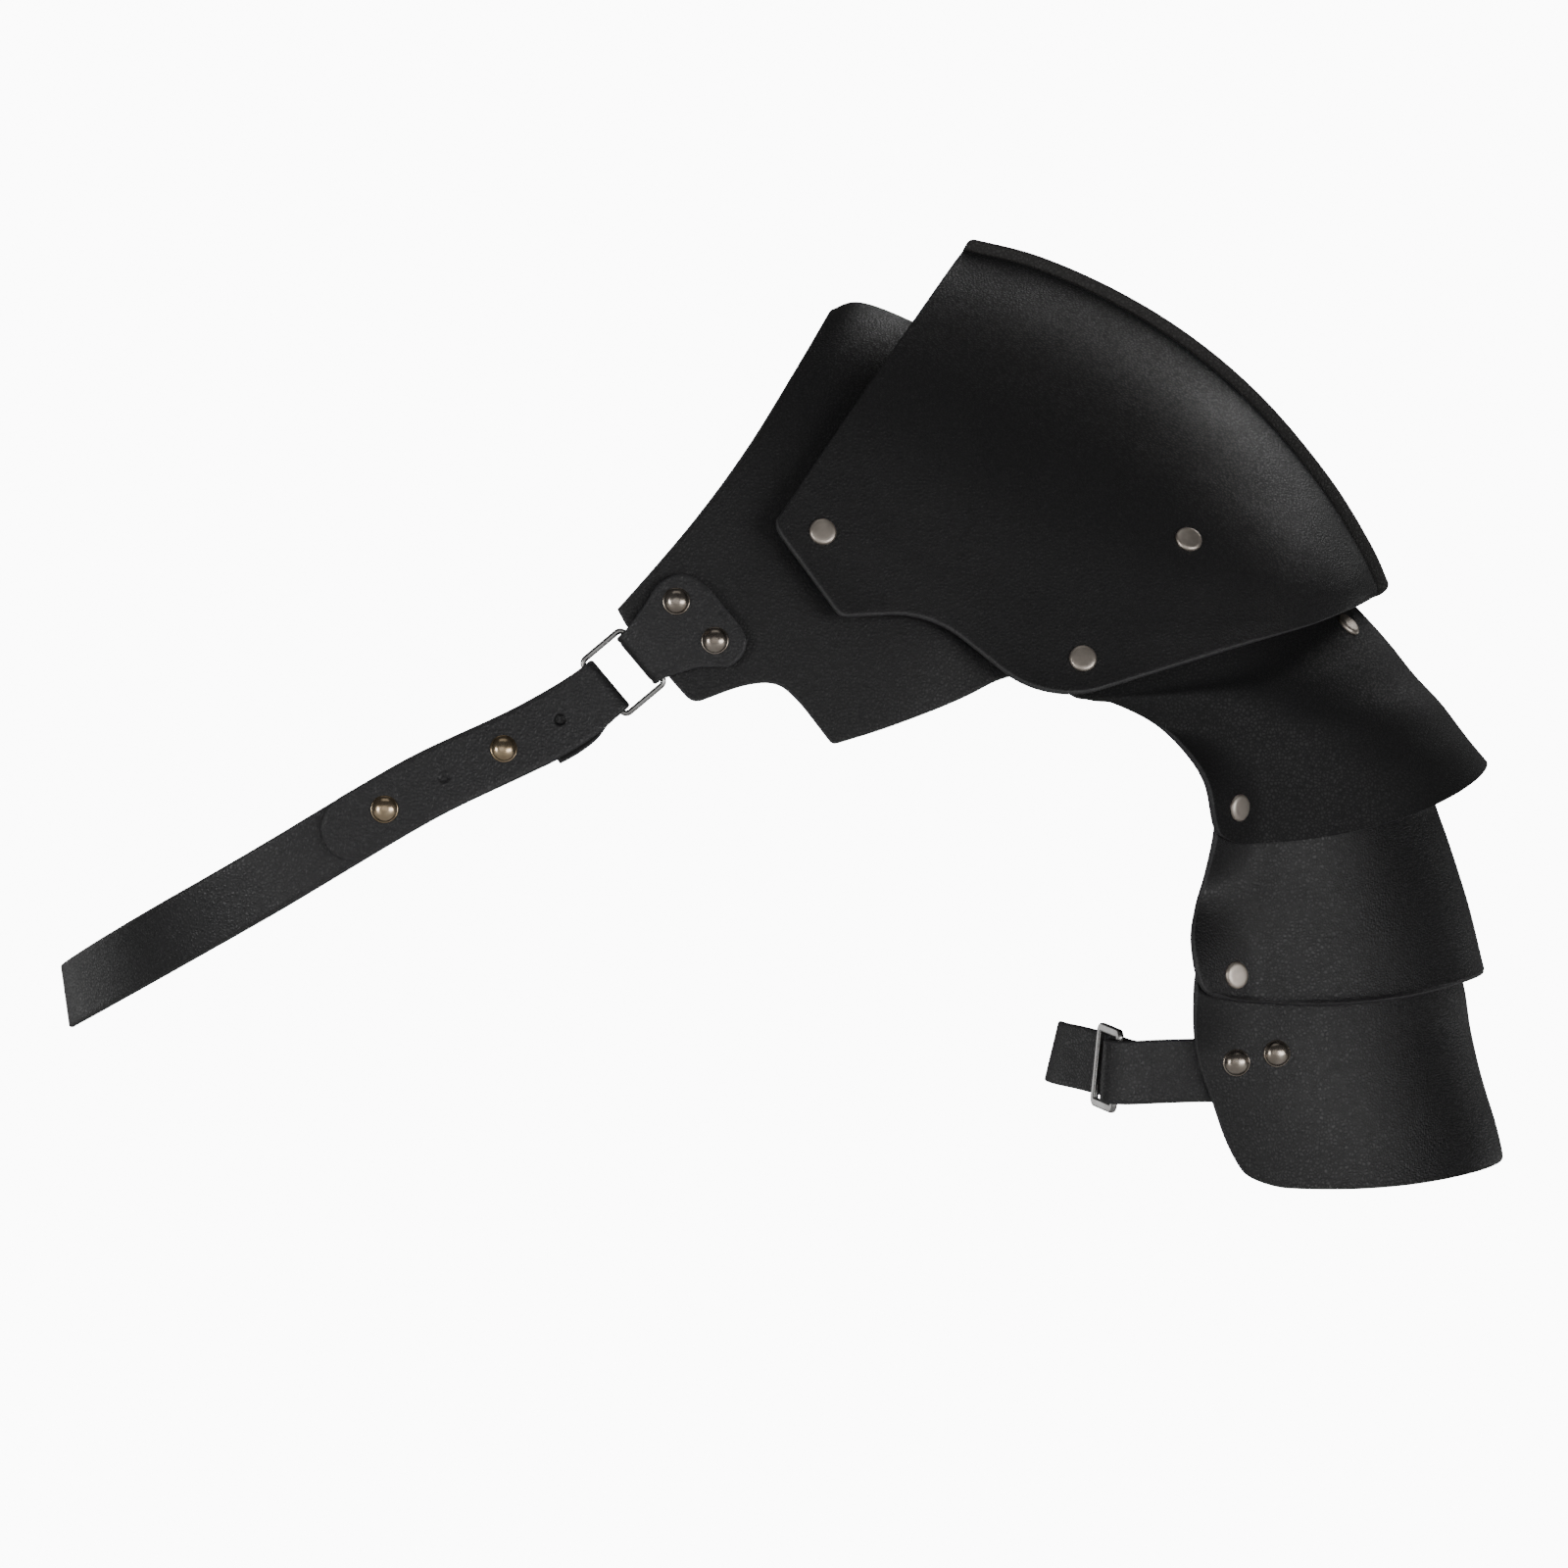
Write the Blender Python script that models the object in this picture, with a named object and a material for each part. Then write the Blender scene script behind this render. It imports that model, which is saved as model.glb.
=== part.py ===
# Leather shoulder guard (pauldron) for one shoulder, worn with a chest strap and an arm strap.
# Metres, +Z up, the front of the wearer faces -Y, and +X points outwards along the worn arm's side.
# The origin is the shoulder seat: the top of the under plate's crest, where the shoulder carries it.

import math

import bpy
import numpy as np
from mathutils import Vector
from mathutils.bvhtree import BVHTree

# Leather and clearances
PLATE_WALL = 0.0018
STRAP_WALL = 0.0020
GAP = 0.0003
LAYER_GAP = 0.0009
TAB_GAP = 0.0016
TUCK_FADE = 0.0090
TUCK_EASE = 0.0030

# The rear half is cut a little larger than the front one, spread about the middle of the whole piece
REAR_SPREAD = 0.667
SPREAD_INWARD = 0.0725
SPREAD_DOWN = 0.1189

# Under plate: the large piece that lies on the shoulder and chest
UNDER_SPAN = 0.2294
UNDER_FALL = 0.1401
UNDER_DEPTH = 0.0890
CREST_INWARD = 0.1254
CREST_RISE = 0.0226
NECK_BOW = 0.0040
CREST_POWER = 2.3
UNDER_STEP = 0.0320
UNDER_STEPS = 5

# Main plate: a front and a back panel that meet at a ridge
RIDGE_SPAN = 0.1224
RIDGE_FALL = 0.1006
RIDGE_INWARD = 0.0197
RIDGE_RISE = 0.0386
MAIN_DEPTH = 0.0890
MAIN_STEP = 0.0160
MAIN_STEPS = 5
WELT_STAND = 0.0045
WELT_TUCK = 0.0030
WELT_WALL = 0.0034

# Three lames that hang down the arm
LAME_REACH = 0.1392
LAME_DROP = 0.2357
LAME_DEPTH = 0.0680
LAME_FLARE = 0.0040
FLARE_SHARE = 0.22
SECTION_POWER = 2.1
HEM_POWER = 1.5

# Rivets
CAP_RADIUS = 0.0040
CAP_HEIGHT = 0.0014
DOME_HEIGHT = 0.0026
SHANK_RADIUS = 0.0014
TAIL_RADIUS = 0.0030
TAIL_HEIGHT = 0.0008
RIVET_SIDES = 8

# Chest strap, its two rings and their tabs
STRAP_WIDTH = 0.0190
TORSO_REACH = 0.2842
TORSO_DROP = 0.1815
TORSO_DEPTH = 0.0970
RING_WIRE = 0.0016
RING_INSIDE = 0.0184
RING_PITCH = 0.0152
RING_CORNER = 0.0018
RING_STRAP_WIDTH = 0.0174
RING_LEAD = 0.0025
TONGUE_LENGTH = 0.0921
TONGUE_BACK = 0.0231
TONGUE_SHIFT = 0.0016
STRAP_START = 0.0261
REAR_FOLD = 0.0270
HOLE_PITCH = 0.0190
HOLE_RADIUS = 0.0016
FIRST_HOLE = 0.0157
TAB_LENGTH = 0.0264
RING_SLOPE = math.radians(40.0)
TAB_BAR_PLACE = (0.0543, 0.7455)

# Arm strap and buckle
ARM_STRAP_WIDTH = 0.0185
ARM_STRAP_LEVEL = 0.857 * LAME_DROP
ARM_STRAP_RISE = 0.0040
ARM_STRAP_TUCK = 0.0290
ARM_FOLD_LENGTH = 0.0140
BUCKLE_BAR = 0.0026
BUCKLE_WALL = 0.0018
BUCKLE_INSIDE = 0.0196
BUCKLE_PITCH = 0.0130
BUCKLE_PLACE = 0.0550

# Under plate, a row for each rib from the crest down to the foot, as shares of its span, fall and depth
# columns: crest along the span, crest down, foot along the span, foot down, depth
UNDER_RIBS = (
    (0.290, 0.016, 0.000, 0.689, 0.945),
    (0.332, 0.000, 0.108, 0.879, 0.950),
    (0.420, 0.058, 0.231, 0.980, 0.950),
    (0.547, 0.161, 0.353, 1.000, 0.940),
    (0.673, 0.268, 0.488, 0.960, 0.920),
    (0.799, 0.395, 0.636, 0.899, 0.860),
    (0.910, 0.560, 0.800, 0.850, 0.710),
    (0.998, 0.730, 0.970, 0.838, 0.330),
)

# Under plate's lower edge: along the span, down, corner radius as a share of the fall
UNDER_EDGE = (
    (0.020, 0.647, 0.000),
    (0.032, 0.684, 0.007),
    (0.091, 0.800, 0.020),
    (0.116, 0.846, 0.022),
    (0.180, 0.806, 0.045),
    (0.222, 0.800, 0.045),
    (0.250, 0.842, 0.030),
    (0.291, 0.930, 0.010),
    (0.358, 0.897, 0.080),
    (0.455, 0.835, 0.080),
    (0.512, 0.782, 0.060),
    (0.600, 0.780, 0.080),
    (0.724, 0.790, 0.080),
    (0.852, 0.800, 0.060),
    (0.965, 0.812, 0.000),
)

# Main plate, a row for each rib from the ridge down to the foot, as shares of the ridge's span, fall and depth
# columns: ridge along the span, ridge down, foot along the span, foot down, depth
MAIN_RIBS = (
    (0.000, 0.000, -0.519, 0.935, 0.990),
    (0.175, 0.055, -0.302, 1.195, 1.008),
    (0.370, 0.161, -0.075, 1.355, 1.010),
    (0.550, 0.300, 0.172, 1.411, 1.010),
    (0.711, 0.473, 0.416, 1.360, 0.970),
    (0.860, 0.692, 0.656, 1.241, 0.830),
    (0.955, 0.879, 0.858, 1.124, 0.530),
    (0.995, 0.985, 0.987, 1.040, 0.140),
)

# Main plate's lower edge: along the span, down, corner radius as a share of the fall
MAIN_EDGE = (
    (-0.430, 0.775, 0.000),
    (-0.459, 0.826, 0.040),
    (-0.300, 1.091, 0.018),
    (-0.090, 1.076, 0.130),
    (0.128, 1.289, 0.080),
    (0.255, 1.318, 0.075),
    (0.652, 1.168, 0.100),
    (0.826, 1.106, 0.060),
    (0.945, 1.045, 0.030),
    (0.985, 1.020, 0.000),
)

# Main plate's section from the ridge to the foot: share of the drop, share of the depth
MAIN_SECTION = (
    (0.00, 0.000),
    (0.12, 0.270),
    (0.28, 0.520),
    (0.50, 0.750),
    (0.72, 0.885),
    (0.88, 0.965),
    (1.00, 1.040),
)

# Lames, a row for each level from the hidden top to the hem, as shares of the reach, drop and depth
# columns: front edge out, front edge down, outer side out, outer side down, depth, flare, sag of the level
UPPER_LAME = (
    (0.031, 0.325, 0.612, 0.225, 1.200, 0.00, 0.000),
    (0.069, 0.392, 0.715, 0.279, 1.205, 0.00, 0.000),
    (0.157, 0.405, 0.790, 0.328, 1.175, 0.10, 0.000),
    (0.249, 0.432, 0.836, 0.378, 1.125, 0.30, 0.001),
    (0.312, 0.467, 0.881, 0.413, 1.075, 0.55, 0.003),
    (0.350, 0.504, 0.927, 0.449, 1.040, 0.80, 0.004),
    (0.374, 0.552, 0.958, 0.471, 1.010, 1.00, 0.006),
    (0.404, 0.575, 0.971, 0.480, 1.000, 1.00, 0.006),
)
MIDDLE_LAME = (
    (0.372, 0.500, 0.823, 0.467, 0.985, 0.90, 0.004),
    (0.376, 0.545, 0.844, 0.500, 0.985, 1.00, 0.005),
    (0.371, 0.575, 0.858, 0.532, 0.985, 1.00, 0.006),
    (0.353, 0.618, 0.882, 0.572, 0.980, 0.90, 0.008),
    (0.333, 0.655, 0.906, 0.615, 0.990, 0.85, 0.010),
    (0.323, 0.698, 0.931, 0.664, 1.000, 0.80, 0.012),
    (0.341, 0.751, 0.958, 0.730, 1.000, 0.80, 0.014),
    (0.387, 0.767, 0.963, 0.738, 0.995, 0.70, 0.014),
)
LOWER_LAME = (
    (0.352, 0.692, 0.870, 0.684, 0.968, 0.70, 0.008),
    (0.338, 0.727, 0.893, 0.722, 0.968, 0.70, 0.008),
    (0.330, 0.758, 0.917, 0.757, 0.965, 0.60, 0.008),
    (0.330, 0.806, 0.931, 0.810, 0.955, 0.30, 0.008),
    (0.342, 0.849, 0.948, 0.856, 0.950, 0.10, 0.008),
    (0.371, 0.897, 0.965, 0.892, 0.940, 0.00, 0.009),
    (0.397, 0.941, 0.984, 0.928, 0.930, 0.00, 0.010),
    (0.435, 0.978, 0.998, 0.962, 0.925, 0.00, 0.010),
    (0.500, 1.000, 1.000, 0.975, 0.920, 0.00, 0.010),
)

# Chest strap's centre line from the front ring to its turn round the torso
# columns: inward share of the reach, share of the drop, forward share of the torso's depth, lean of the width
TORSO_PATH = (
    (0.632, 0.672, 0.985, 0.500),
    (0.785, 0.814, 0.950, 0.490),
    (0.890, 0.906, 0.760, 0.420),
    (0.962, 0.968, 0.420, 0.260),
    (1.000, 1.000, 0.000, 0.135),
)

# Ring tab's outline from the fold: share of its length, share of the strap's width to each side
# columns: along, half width above, half width below
TAB_OUTLINE = (
    (0.00, 0.458, 0.458),
    (0.20, 0.515, 0.580),
    (0.40, 0.590, 0.718),
    (0.52, 0.648, 0.860),
    (0.62, 0.670, 0.970),
    (0.72, 0.662, 0.995),
    (0.82, 0.612, 0.975),
    (0.91, 0.495, 0.905),
    (0.97, 0.310, 0.795),
    (1.00, 0.100, 0.600),
)

# Arm strap's plan from the lower lame's front edge round the inner arm
# columns: out share of the reach, forward share of the lame's depth, share of the rise, lean of the width
ARM_PATH = (
    (0.262, 0.840, -0.10, 0.00),
    (0.197, 0.745, -0.20, 0.02),
    (0.158, 0.570, 0.25, 0.08),
    (0.110, 0.380, 0.65, 0.15),
    (0.068, 0.180, 0.90, 0.22),
    (0.054, 0.000, 1.00, 0.24),
)

# Places of the rivets in the front view
# on the main plate: along the ridge's span, down as a share of its fall
RIVET_CHEST = (-0.3415, 0.8469)
RIVET_OUTER = (0.5237, 0.8668)
RIVET_LOBE = (0.2704, 1.2097)
# on the lames: out as a share of their reach, down as a share of their drop
RIVET_SIDE = (0.6624, 0.3089)
RIVET_UPPER = (0.4181, 0.5333)
RIVET_MIDDLE = (0.4145, 0.7391)
RIVET_ARM_INNER = (0.4195, 0.8468)
RIVET_ARM_OUTER = (0.5036, 0.8358)
# on the ring tab: along its length, across as a share of the strap's width
RIVET_TAB_UPPER = (0.648, 0.300)
RIVET_TAB_LOWER = (0.696, -0.531)


def clear_scene():
    for item in list(bpy.data.objects):
        bpy.data.objects.remove(item, do_unlink=True)


def make_material(name, colour, roughness, metallic):
    material = bpy.data.materials.new(name)
    material.use_nodes = True
    shader = material.node_tree.nodes["Principled BSDF"]
    shader.inputs["Base Color"].default_value = (*colour, 1.0)
    shader.inputs["Roughness"].default_value = roughness
    shader.inputs["Metallic"].default_value = metallic
    material.diffuse_color = (*colour, 1.0)
    return material


def smooth_curve(knots, values, places):
    # a cubic through every row, with the slopes of its neighbours
    knots = np.asarray(knots, dtype=float)
    values = np.asarray(values, dtype=float)
    slopes = np.gradient(values, knots, axis=0)
    left = np.clip(np.searchsorted(knots, places, side="right") - 1, 0, len(knots) - 2)
    step = knots[left + 1] - knots[left]
    t = ((places - knots[left]) / step)[:, None]
    step = step[:, None]
    start, end = values[left], values[left + 1]
    return (start * (1 + 2 * t) * (1 - t) ** 2 + slopes[left] * step * t * (1 - t) ** 2
            + end * t * t * (3 - 2 * t) + slopes[left + 1] * step * t * t * (t - 1))


def rounded_outline(rows, corner_steps=3):
    # a polyline whose corners are cut back by their radius and rounded with a parabola
    points = []
    for index, (across, down, radius) in enumerate(rows):
        here = np.array((across, down))
        if radius <= 0.0 or index in (0, len(rows) - 1):
            points.append(here)
            continue
        before = np.array(rows[index - 1][:2]) - here
        after = np.array(rows[index + 1][:2]) - here
        start = here + before * min(0.48, radius / np.linalg.norm(before))
        end = here + after * min(0.48, radius / np.linalg.norm(after))
        for t in np.linspace(0.0, 1.0, corner_steps):
            points.append((1 - t) ** 2 * start + 2 * t * (1 - t) * here + t * t * end)
    return np.array(points)


def fill_long_steps(points, longest):
    # extra points along the straight stretches of an outline
    filled = [points[0]]
    for start, end in zip(points[:-1], points[1:]):
        count = max(1, int(math.ceil(np.linalg.norm(end - start) / longest)))
        filled.extend(start + (end - start) * k / count for k in range(1, count + 1))
    return np.array(filled)


class RibSurface:
    """A surface of ribs: each is straight in the front view and bows forwards from top to foot."""

    def __init__(self, ribs, span, fall, depth, inward, rise, section, start_depth, bow):
        table = np.array(ribs)
        self.knots = np.linspace(0.0, 1.0, len(table))
        self.tops = np.stack((table[:, 0] * span - inward, rise - table[:, 1] * fall), axis=1)
        self.feet = np.stack((table[:, 2] * span - inward, rise - table[:, 3] * fall), axis=1)
        self.depths = table[:, 4] * depth
        self.section = section
        self.start_depth = start_depth
        self.bow = bow

    def ribs(self, v):
        rows = np.concatenate((self.tops, self.feet, self.depths[:, None]), axis=1)
        values = smooth_curve(self.knots, rows, v)
        return values[:, 0:2], values[:, 2:4], values[:, 4]

    def front_view(self, v, s):
        top, foot, _ = self.ribs(v)
        along = foot - top
        across = np.stack((-along[:, 1], along[:, 0]), axis=1)
        across /= np.linalg.norm(across, axis=1)[:, None]
        bow = (self.bow * (1.0 - v) ** 2 * 4.0 * s * (1.0 - s))[:, None]
        return top + along * s[:, None] + across * bow

    def points(self, v, s):
        flat = self.front_view(v, s)
        depth = self.ribs(v)[2] * self.section(s)
        return np.stack((flat[:, 0], -self.start_depth - depth, flat[:, 1]), axis=1)

    def find(self, places):
        # the rib and the share along it that lie on each place of the front view
        v = np.full(len(places), 0.4)
        s = np.full(len(places), 0.6)
        fine = np.linspace(0.0, 1.0, 61)
        vv, ss = [a.ravel() for a in np.meshgrid(fine, fine, indexing="ij")]
        cloud = self.front_view(vv, ss)
        for index, place in enumerate(places):
            nearest = np.argmin(np.sum((cloud - place) ** 2, axis=1))
            v[index], s[index] = vv[nearest], ss[nearest]
        step = 1e-5
        for _ in range(12):
            here = self.front_view(v, s)
            by_v = (self.front_view(v + step, s) - here) / step
            by_s = (self.front_view(v, s + step) - here) / step
            error = places - here
            det = by_v[:, 0] * by_s[:, 1] - by_v[:, 1] * by_s[:, 0]
            v = v + (error[:, 0] * by_s[:, 1] - error[:, 1] * by_s[:, 0]) / det
            s = s + (by_v[:, 0] * error[:, 1] - by_v[:, 1] * error[:, 0]) / det
            v = np.clip(v, 0.0, 1.0)
            s = np.clip(s, 0.0, 1.2)
        return v, s


def round_section(s):
    # close to a quarter ellipse: level over the crest, upright at the foot
    return np.sqrt(np.maximum(0.0, 1.0 - (1.0 - np.minimum(s, 1.0)) ** CREST_POWER))


def main_section(s):
    table = np.array(MAIN_SECTION)
    return smooth_curve(table[:, 0], table[:, 1:2], s)[:, 0]


def edge_shares(surface, rows, span, fall, inward, rise, longest):
    # the rib and share at each point of a lower edge; the first and last ribs are the side edges
    scaled = [(a * span - inward, rise - b * fall, c * fall) for a, b, c in rows]
    outline = fill_long_steps(rounded_outline(scaled), longest)
    v, s = surface.find(outline)
    v[0], v[-1] = 0.0, 1.0
    return np.maximum.accumulate(v + np.arange(len(v)) * 1e-6), s


def thick_sheet(grid, wall):
    # a closed solid round a grid of points, half the wall to each side
    rows, columns = grid.shape[:2]
    along = np.gradient(grid, axis=0)
    across = np.gradient(grid, axis=1)
    normal = np.cross(along, across)
    normal /= np.linalg.norm(normal, axis=2)[:, :, None]
    outer = (grid + normal * wall / 2).reshape(-1, 3)
    inner = (grid - normal * wall / 2).reshape(-1, 3)
    index = np.arange(rows * columns).reshape(rows, columns)
    below = index + rows * columns
    quads = np.stack((index[:-1, :-1], index[1:, :-1], index[1:, 1:], index[:-1, 1:]), axis=2).reshape(-1, 4)
    faces = [quads, (quads + rows * columns)[:, ::-1]]
    for edge, flip in ((0, False), (-1, True)):
        for line, under in ((index[edge], below[edge]), (index[:, edge][::-1], below[:, edge][::-1])):
            rim = np.stack((line[:-1], line[1:], under[1:], under[:-1]), axis=1)
            faces.append(rim[:, ::-1] if flip else rim)
    return np.concatenate((outer, inner)), np.concatenate(faces)


def add_mesh(name, points, faces, material, smooth=True):
    mesh = bpy.data.meshes.new(name)
    mesh.from_pydata([tuple(p) for p in spread_rear(points)], [], [tuple(int(i) for i in f) for f in faces])
    mesh.materials.append(material)
    mesh.update()
    item = bpy.data.objects.new(name, mesh)
    bpy.context.collection.objects.link(item)
    if smooth:
        mesh.shade_smooth()
        mesh.set_sharp_from_angle(angle=math.radians(40))
    return item


class Sheet:
    """A leather piece: its middle surface, its wall, its solid and the holes cut in it."""

    def __init__(self, name, grid, wall, material):
        self.name = name
        self.grid = grid
        self.wall = wall
        self.holes = []
        points, faces = thick_sheet(grid, wall)
        self.item = add_mesh(name, points, faces, material)
        rows, columns = grid.shape[:2]
        index = np.arange(rows * columns).reshape(rows, columns)
        quads = np.stack((index[:-1, :-1], index[1:, :-1], index[1:, 1:], index[:-1, 1:]), axis=2)
        self.tree = BVHTree.FromPolygons([tuple(p) for p in grid.reshape(-1, 3)],
                                         [tuple(int(i) for i in q) for q in quads.reshape(-1, 4)])

    def hit(self, start, direction):
        place, normal, _, distance = self.tree.ray_cast(Vector(start), Vector(direction))
        return place, normal, distance

    def meet(self, start, direction):
        # where a line meets the sheet, or the sheet's nearest place when the line passes it by
        place, normal, _ = self.hit(start, direction)
        if place is None:
            place, normal, _, _ = self.tree.find_nearest(Vector(start) + Vector(direction) * 2.0 * TORSO_DEPTH)
        return place, normal

    def cut_holes(self):
        if not self.holes:
            return
        points, faces = [], []
        for centre, axis, radius, reach in self.holes:
            ring = disc_frame(axis)
            base = len(points)
            for side in (-reach, reach):
                for k in range(RIVET_SIDES):
                    turn = 2 * math.pi * k / RIVET_SIDES
                    points.append(centre + axis * side + ring[0] * radius * math.cos(turn)
                                  + ring[1] * radius * math.sin(turn))
            near = list(range(base, base + RIVET_SIDES))
            far = list(range(base + RIVET_SIDES, base + 2 * RIVET_SIDES))
            faces.append(near[::-1])
            faces.append(far)
            for k in range(RIVET_SIDES):
                nxt = (k + 1) % RIVET_SIDES
                faces.append((near[k], near[nxt], far[nxt], far[k]))
        cutter = add_mesh(self.name + "_hole_cutter", points, faces, self.item.data.materials[0], smooth=False)
        cutter.hide_render = True
        cutter.display_type = "WIRE"
        cut = self.item.modifiers.new("holes", "BOOLEAN")
        cut.operation = "DIFFERENCE"
        cut.solver = "EXACT"
        cut.object = cutter


def disc_frame(axis):
    # two directions square to an axis, the same for every run
    helper = np.array((0.0, 0.0, 1.0)) if abs(axis[2]) < 0.9 else np.array((1.0, 0.0, 0.0))
    first = np.cross(helper, axis)
    first /= np.linalg.norm(first)
    return first, np.cross(axis, first)


def mirrored(vector):
    return np.array((vector[0], -vector[1], vector[2]))


def turned_solid(name, profile, centre, axis, material, sides=RIVET_SIDES):
    # a turned piece: profile rows hold the height along the axis and the radius, from top to bottom
    first, second = disc_frame(axis)
    points = [centre + axis * profile[0][0]]
    for height, radius in profile[1:-1]:
        for k in range(sides):
            turn = 2 * math.pi * k / sides
            points.append(centre + axis * height + (first * math.cos(turn) + second * math.sin(turn)) * radius)
    points.append(centre + axis * profile[-1][0])
    last = len(points) - 1
    bands = len(profile) - 2
    faces = []
    for k in range(sides):
        nxt = (k + 1) % sides
        faces.append((0, 1 + k, 1 + nxt))
        faces.append((last, 1 + (bands - 1) * sides + nxt, 1 + (bands - 1) * sides + k))
        for band in range(bands - 1):
            row = 1 + band * sides
            faces.append((row + k, row + sides + k, row + sides + nxt, row + nxt))
    return add_mesh(name, points, faces, material)


def main_place(shares):
    return shares[0] * RIDGE_SPAN - RIDGE_INWARD, shares[1] * RIDGE_FALL - RIDGE_RISE


def lame_place(shares):
    return shares[0] * LAME_REACH, shares[1] * LAME_DROP


def tab_frame():
    # the bar's place in the front view, and the tab's directions along and across
    bar = np.array((TAB_BAR_PLACE[0] * UNDER_SPAN - CREST_INWARD, CREST_RISE - TAB_BAR_PLACE[1] * UNDER_FALL))
    along = np.array((math.cos(RING_SLOPE), math.sin(RING_SLOPE)))
    return bar, along, np.array((-along[1], along[0]))


def tab_place(shares):
    bar, along, up = tab_frame()
    place = bar + along * shares[0] * TAB_LENGTH + up * shares[1] * STRAP_WIDTH
    return place[0], -place[1]


def add_rivet(name, place, front, layers, domed, material):
    # A rivet through a stack of layers, set square to the outermost one where it meets the place.
    # The place is in the front view, and front is True for the front half, False for the rear one.
    side = -1.0 if front else 1.0
    start = np.array((place[0], side * 2.0 * TORSO_DEPTH, -place[1]))
    hit, normal = layers[0].meet(start, (0.0, -side, 0.0))
    centre, axis = np.array(hit), np.array(normal)
    if axis[1] * side < 0:
        axis = -axis
    seat_rivet(name, centre, axis, layers, domed, material)


def seat_rivet(name, centre, axis, layers, domed, material):
    first, second = disc_frame(axis)
    reach = 4.0 * CAP_RADIUS
    heights_over, heights_under = [], []
    for k in range(RIVET_SIDES):
        turn = 2 * math.pi * k / RIVET_SIDES
        radial = first * math.cos(turn) + second * math.sin(turn)
        hit, normal, _ = layers[0].hit(centre + radial * CAP_RADIUS + axis * reach, -axis)
        if hit is not None:
            heights_over.append(float(np.dot(np.array(hit) - centre, axis)))
        for layer in layers[1:] or layers:
            hit, normal, _ = layer.hit(centre + radial * TAIL_RADIUS - axis * reach, axis)
            if hit is not None:
                heights_under.append(float(np.dot(np.array(hit) - centre, axis)))
    hit, _ = layers[-1].meet(centre - axis * reach, axis)
    heights_under.append(float(np.dot(np.array(hit) - centre, axis)))
    over = max(heights_over + [0.0]) + layers[0].wall / 2 + GAP
    under = min(heights_under) - layers[-1].wall / 2 - GAP
    top = DOME_HEIGHT if domed else CAP_HEIGHT
    shoulder = 0.75 if domed else 0.86
    profile = [
        (over + top, 0.0),
        (over + top * 0.86, CAP_RADIUS * shoulder),
        (over, CAP_RADIUS),
        (over, SHANK_RADIUS),
        (under, SHANK_RADIUS),
        (under, TAIL_RADIUS),
        (under - TAIL_HEIGHT, TAIL_RADIUS),
        (under - TAIL_HEIGHT, 0.0),
    ]
    turned_solid(name, profile, centre, axis, material)
    for layer in layers:
        layer.holes.append((centre, axis, SHANK_RADIUS + GAP, reach))


def rib_grid(surface, v, s_edge, steps, both_sides):
    # the grid runs from the edge of one side over the top to the other, or down one side alone
    shares = np.linspace(0.0, 1.0, steps + 1)
    rows = []
    for v_one, s_one in zip(v, s_edge):
        if both_sides:
            s = 1.0 - np.cos(shares * math.acos(1.0 - min(s_one, 0.999)))
        else:
            s = shares ** 1.25 * s_one
        rows.append(surface.points(np.full(len(s), v_one), s))
    grid = np.array(rows)[:, ::-1]
    if both_sides:
        grid = np.concatenate((grid, mirrored_rows(grid)[:, -2::-1]), axis=1)
    return grid


def mirror_grid(grid):
    return mirrored_rows(grid)[:, ::-1]


def lame_grid(rows, levels, half_columns):
    # every level is a half ring: flared front edge, round the outer side, flared rear edge
    table = np.array(rows)
    knots = np.linspace(0.0, 1.0, len(table))
    values = smooth_curve(knots, table, np.linspace(0.0, 1.0, levels))
    turn = np.linspace(0.0, math.pi / 2, half_columns + 1)
    out = np.sin(turn) ** (2 / SECTION_POWER)
    forward = np.cos(turn) ** (2 / SECTION_POWER)
    grid = []
    for front_out, front_down, tip_out, tip_down, depth, flare, sag in values:
        x = (front_out + (tip_out - front_out) * out) * LAME_REACH
        rise = 0.15 * out + 0.85 * (1.0 - forward ** HEM_POWER)
        z = -(front_down + (tip_down - front_down) * rise + sag * 4.0 * out * (1.0 - out)) * LAME_DROP
        curl = np.maximum(0.0, 1.0 - out / FLARE_SHARE) ** 2
        y = -depth * LAME_DEPTH * forward - flare * LAME_FLARE * curl
        half = np.stack((x, y, z), axis=1)
        grid.append(np.concatenate((half, mirrored_rows(half)[-2::-1])))
    return np.array(grid)


def mirrored_rows(points):
    return points * np.array((1.0, -1.0, 1.0))


def tuck_under(grid, covers, clearance):
    # moves each point that lies too close under a covering sheet inwards, and eases the points just past its edge
    moved = grid.copy()
    for cover in covers * 2:
        for index in np.ndindex(grid.shape[:2]):
            place, normal, _, _ = cover.tree.find_nearest(Vector(moved[index]))
            offset = moved[index] - np.array(place)
            height = float(np.dot(offset, normal))
            aside = float(np.linalg.norm(offset - np.array(normal) * height))
            need = height + clearance
            if aside > clearance / 2:
                share = min(1.0, aside / TUCK_FADE)
                need = min(need, TUCK_EASE) * (1.0 - share * share * (3.0 - 2.0 * share))
            if need > 0.0:
                moved[index] -= np.array(normal) * need
    return moved


def spread_rear(points):
    # every point behind the middle plane moves away from the piece's middle, in step with its depth
    points = np.array(points, dtype=float)
    share = 1.0 + REAR_SPREAD * np.maximum(0.0, points[:, 1])
    points[:, 0] = (points[:, 0] + SPREAD_INWARD) * share - SPREAD_INWARD
    points[:, 2] = (points[:, 2] + SPREAD_DOWN) * share - SPREAD_DOWN
    return points


def evened(grid):
    # the front and rear halves are made exact mirror images again
    return (grid + mirrored_rows(grid)[:, ::-1]) / 2


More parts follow.
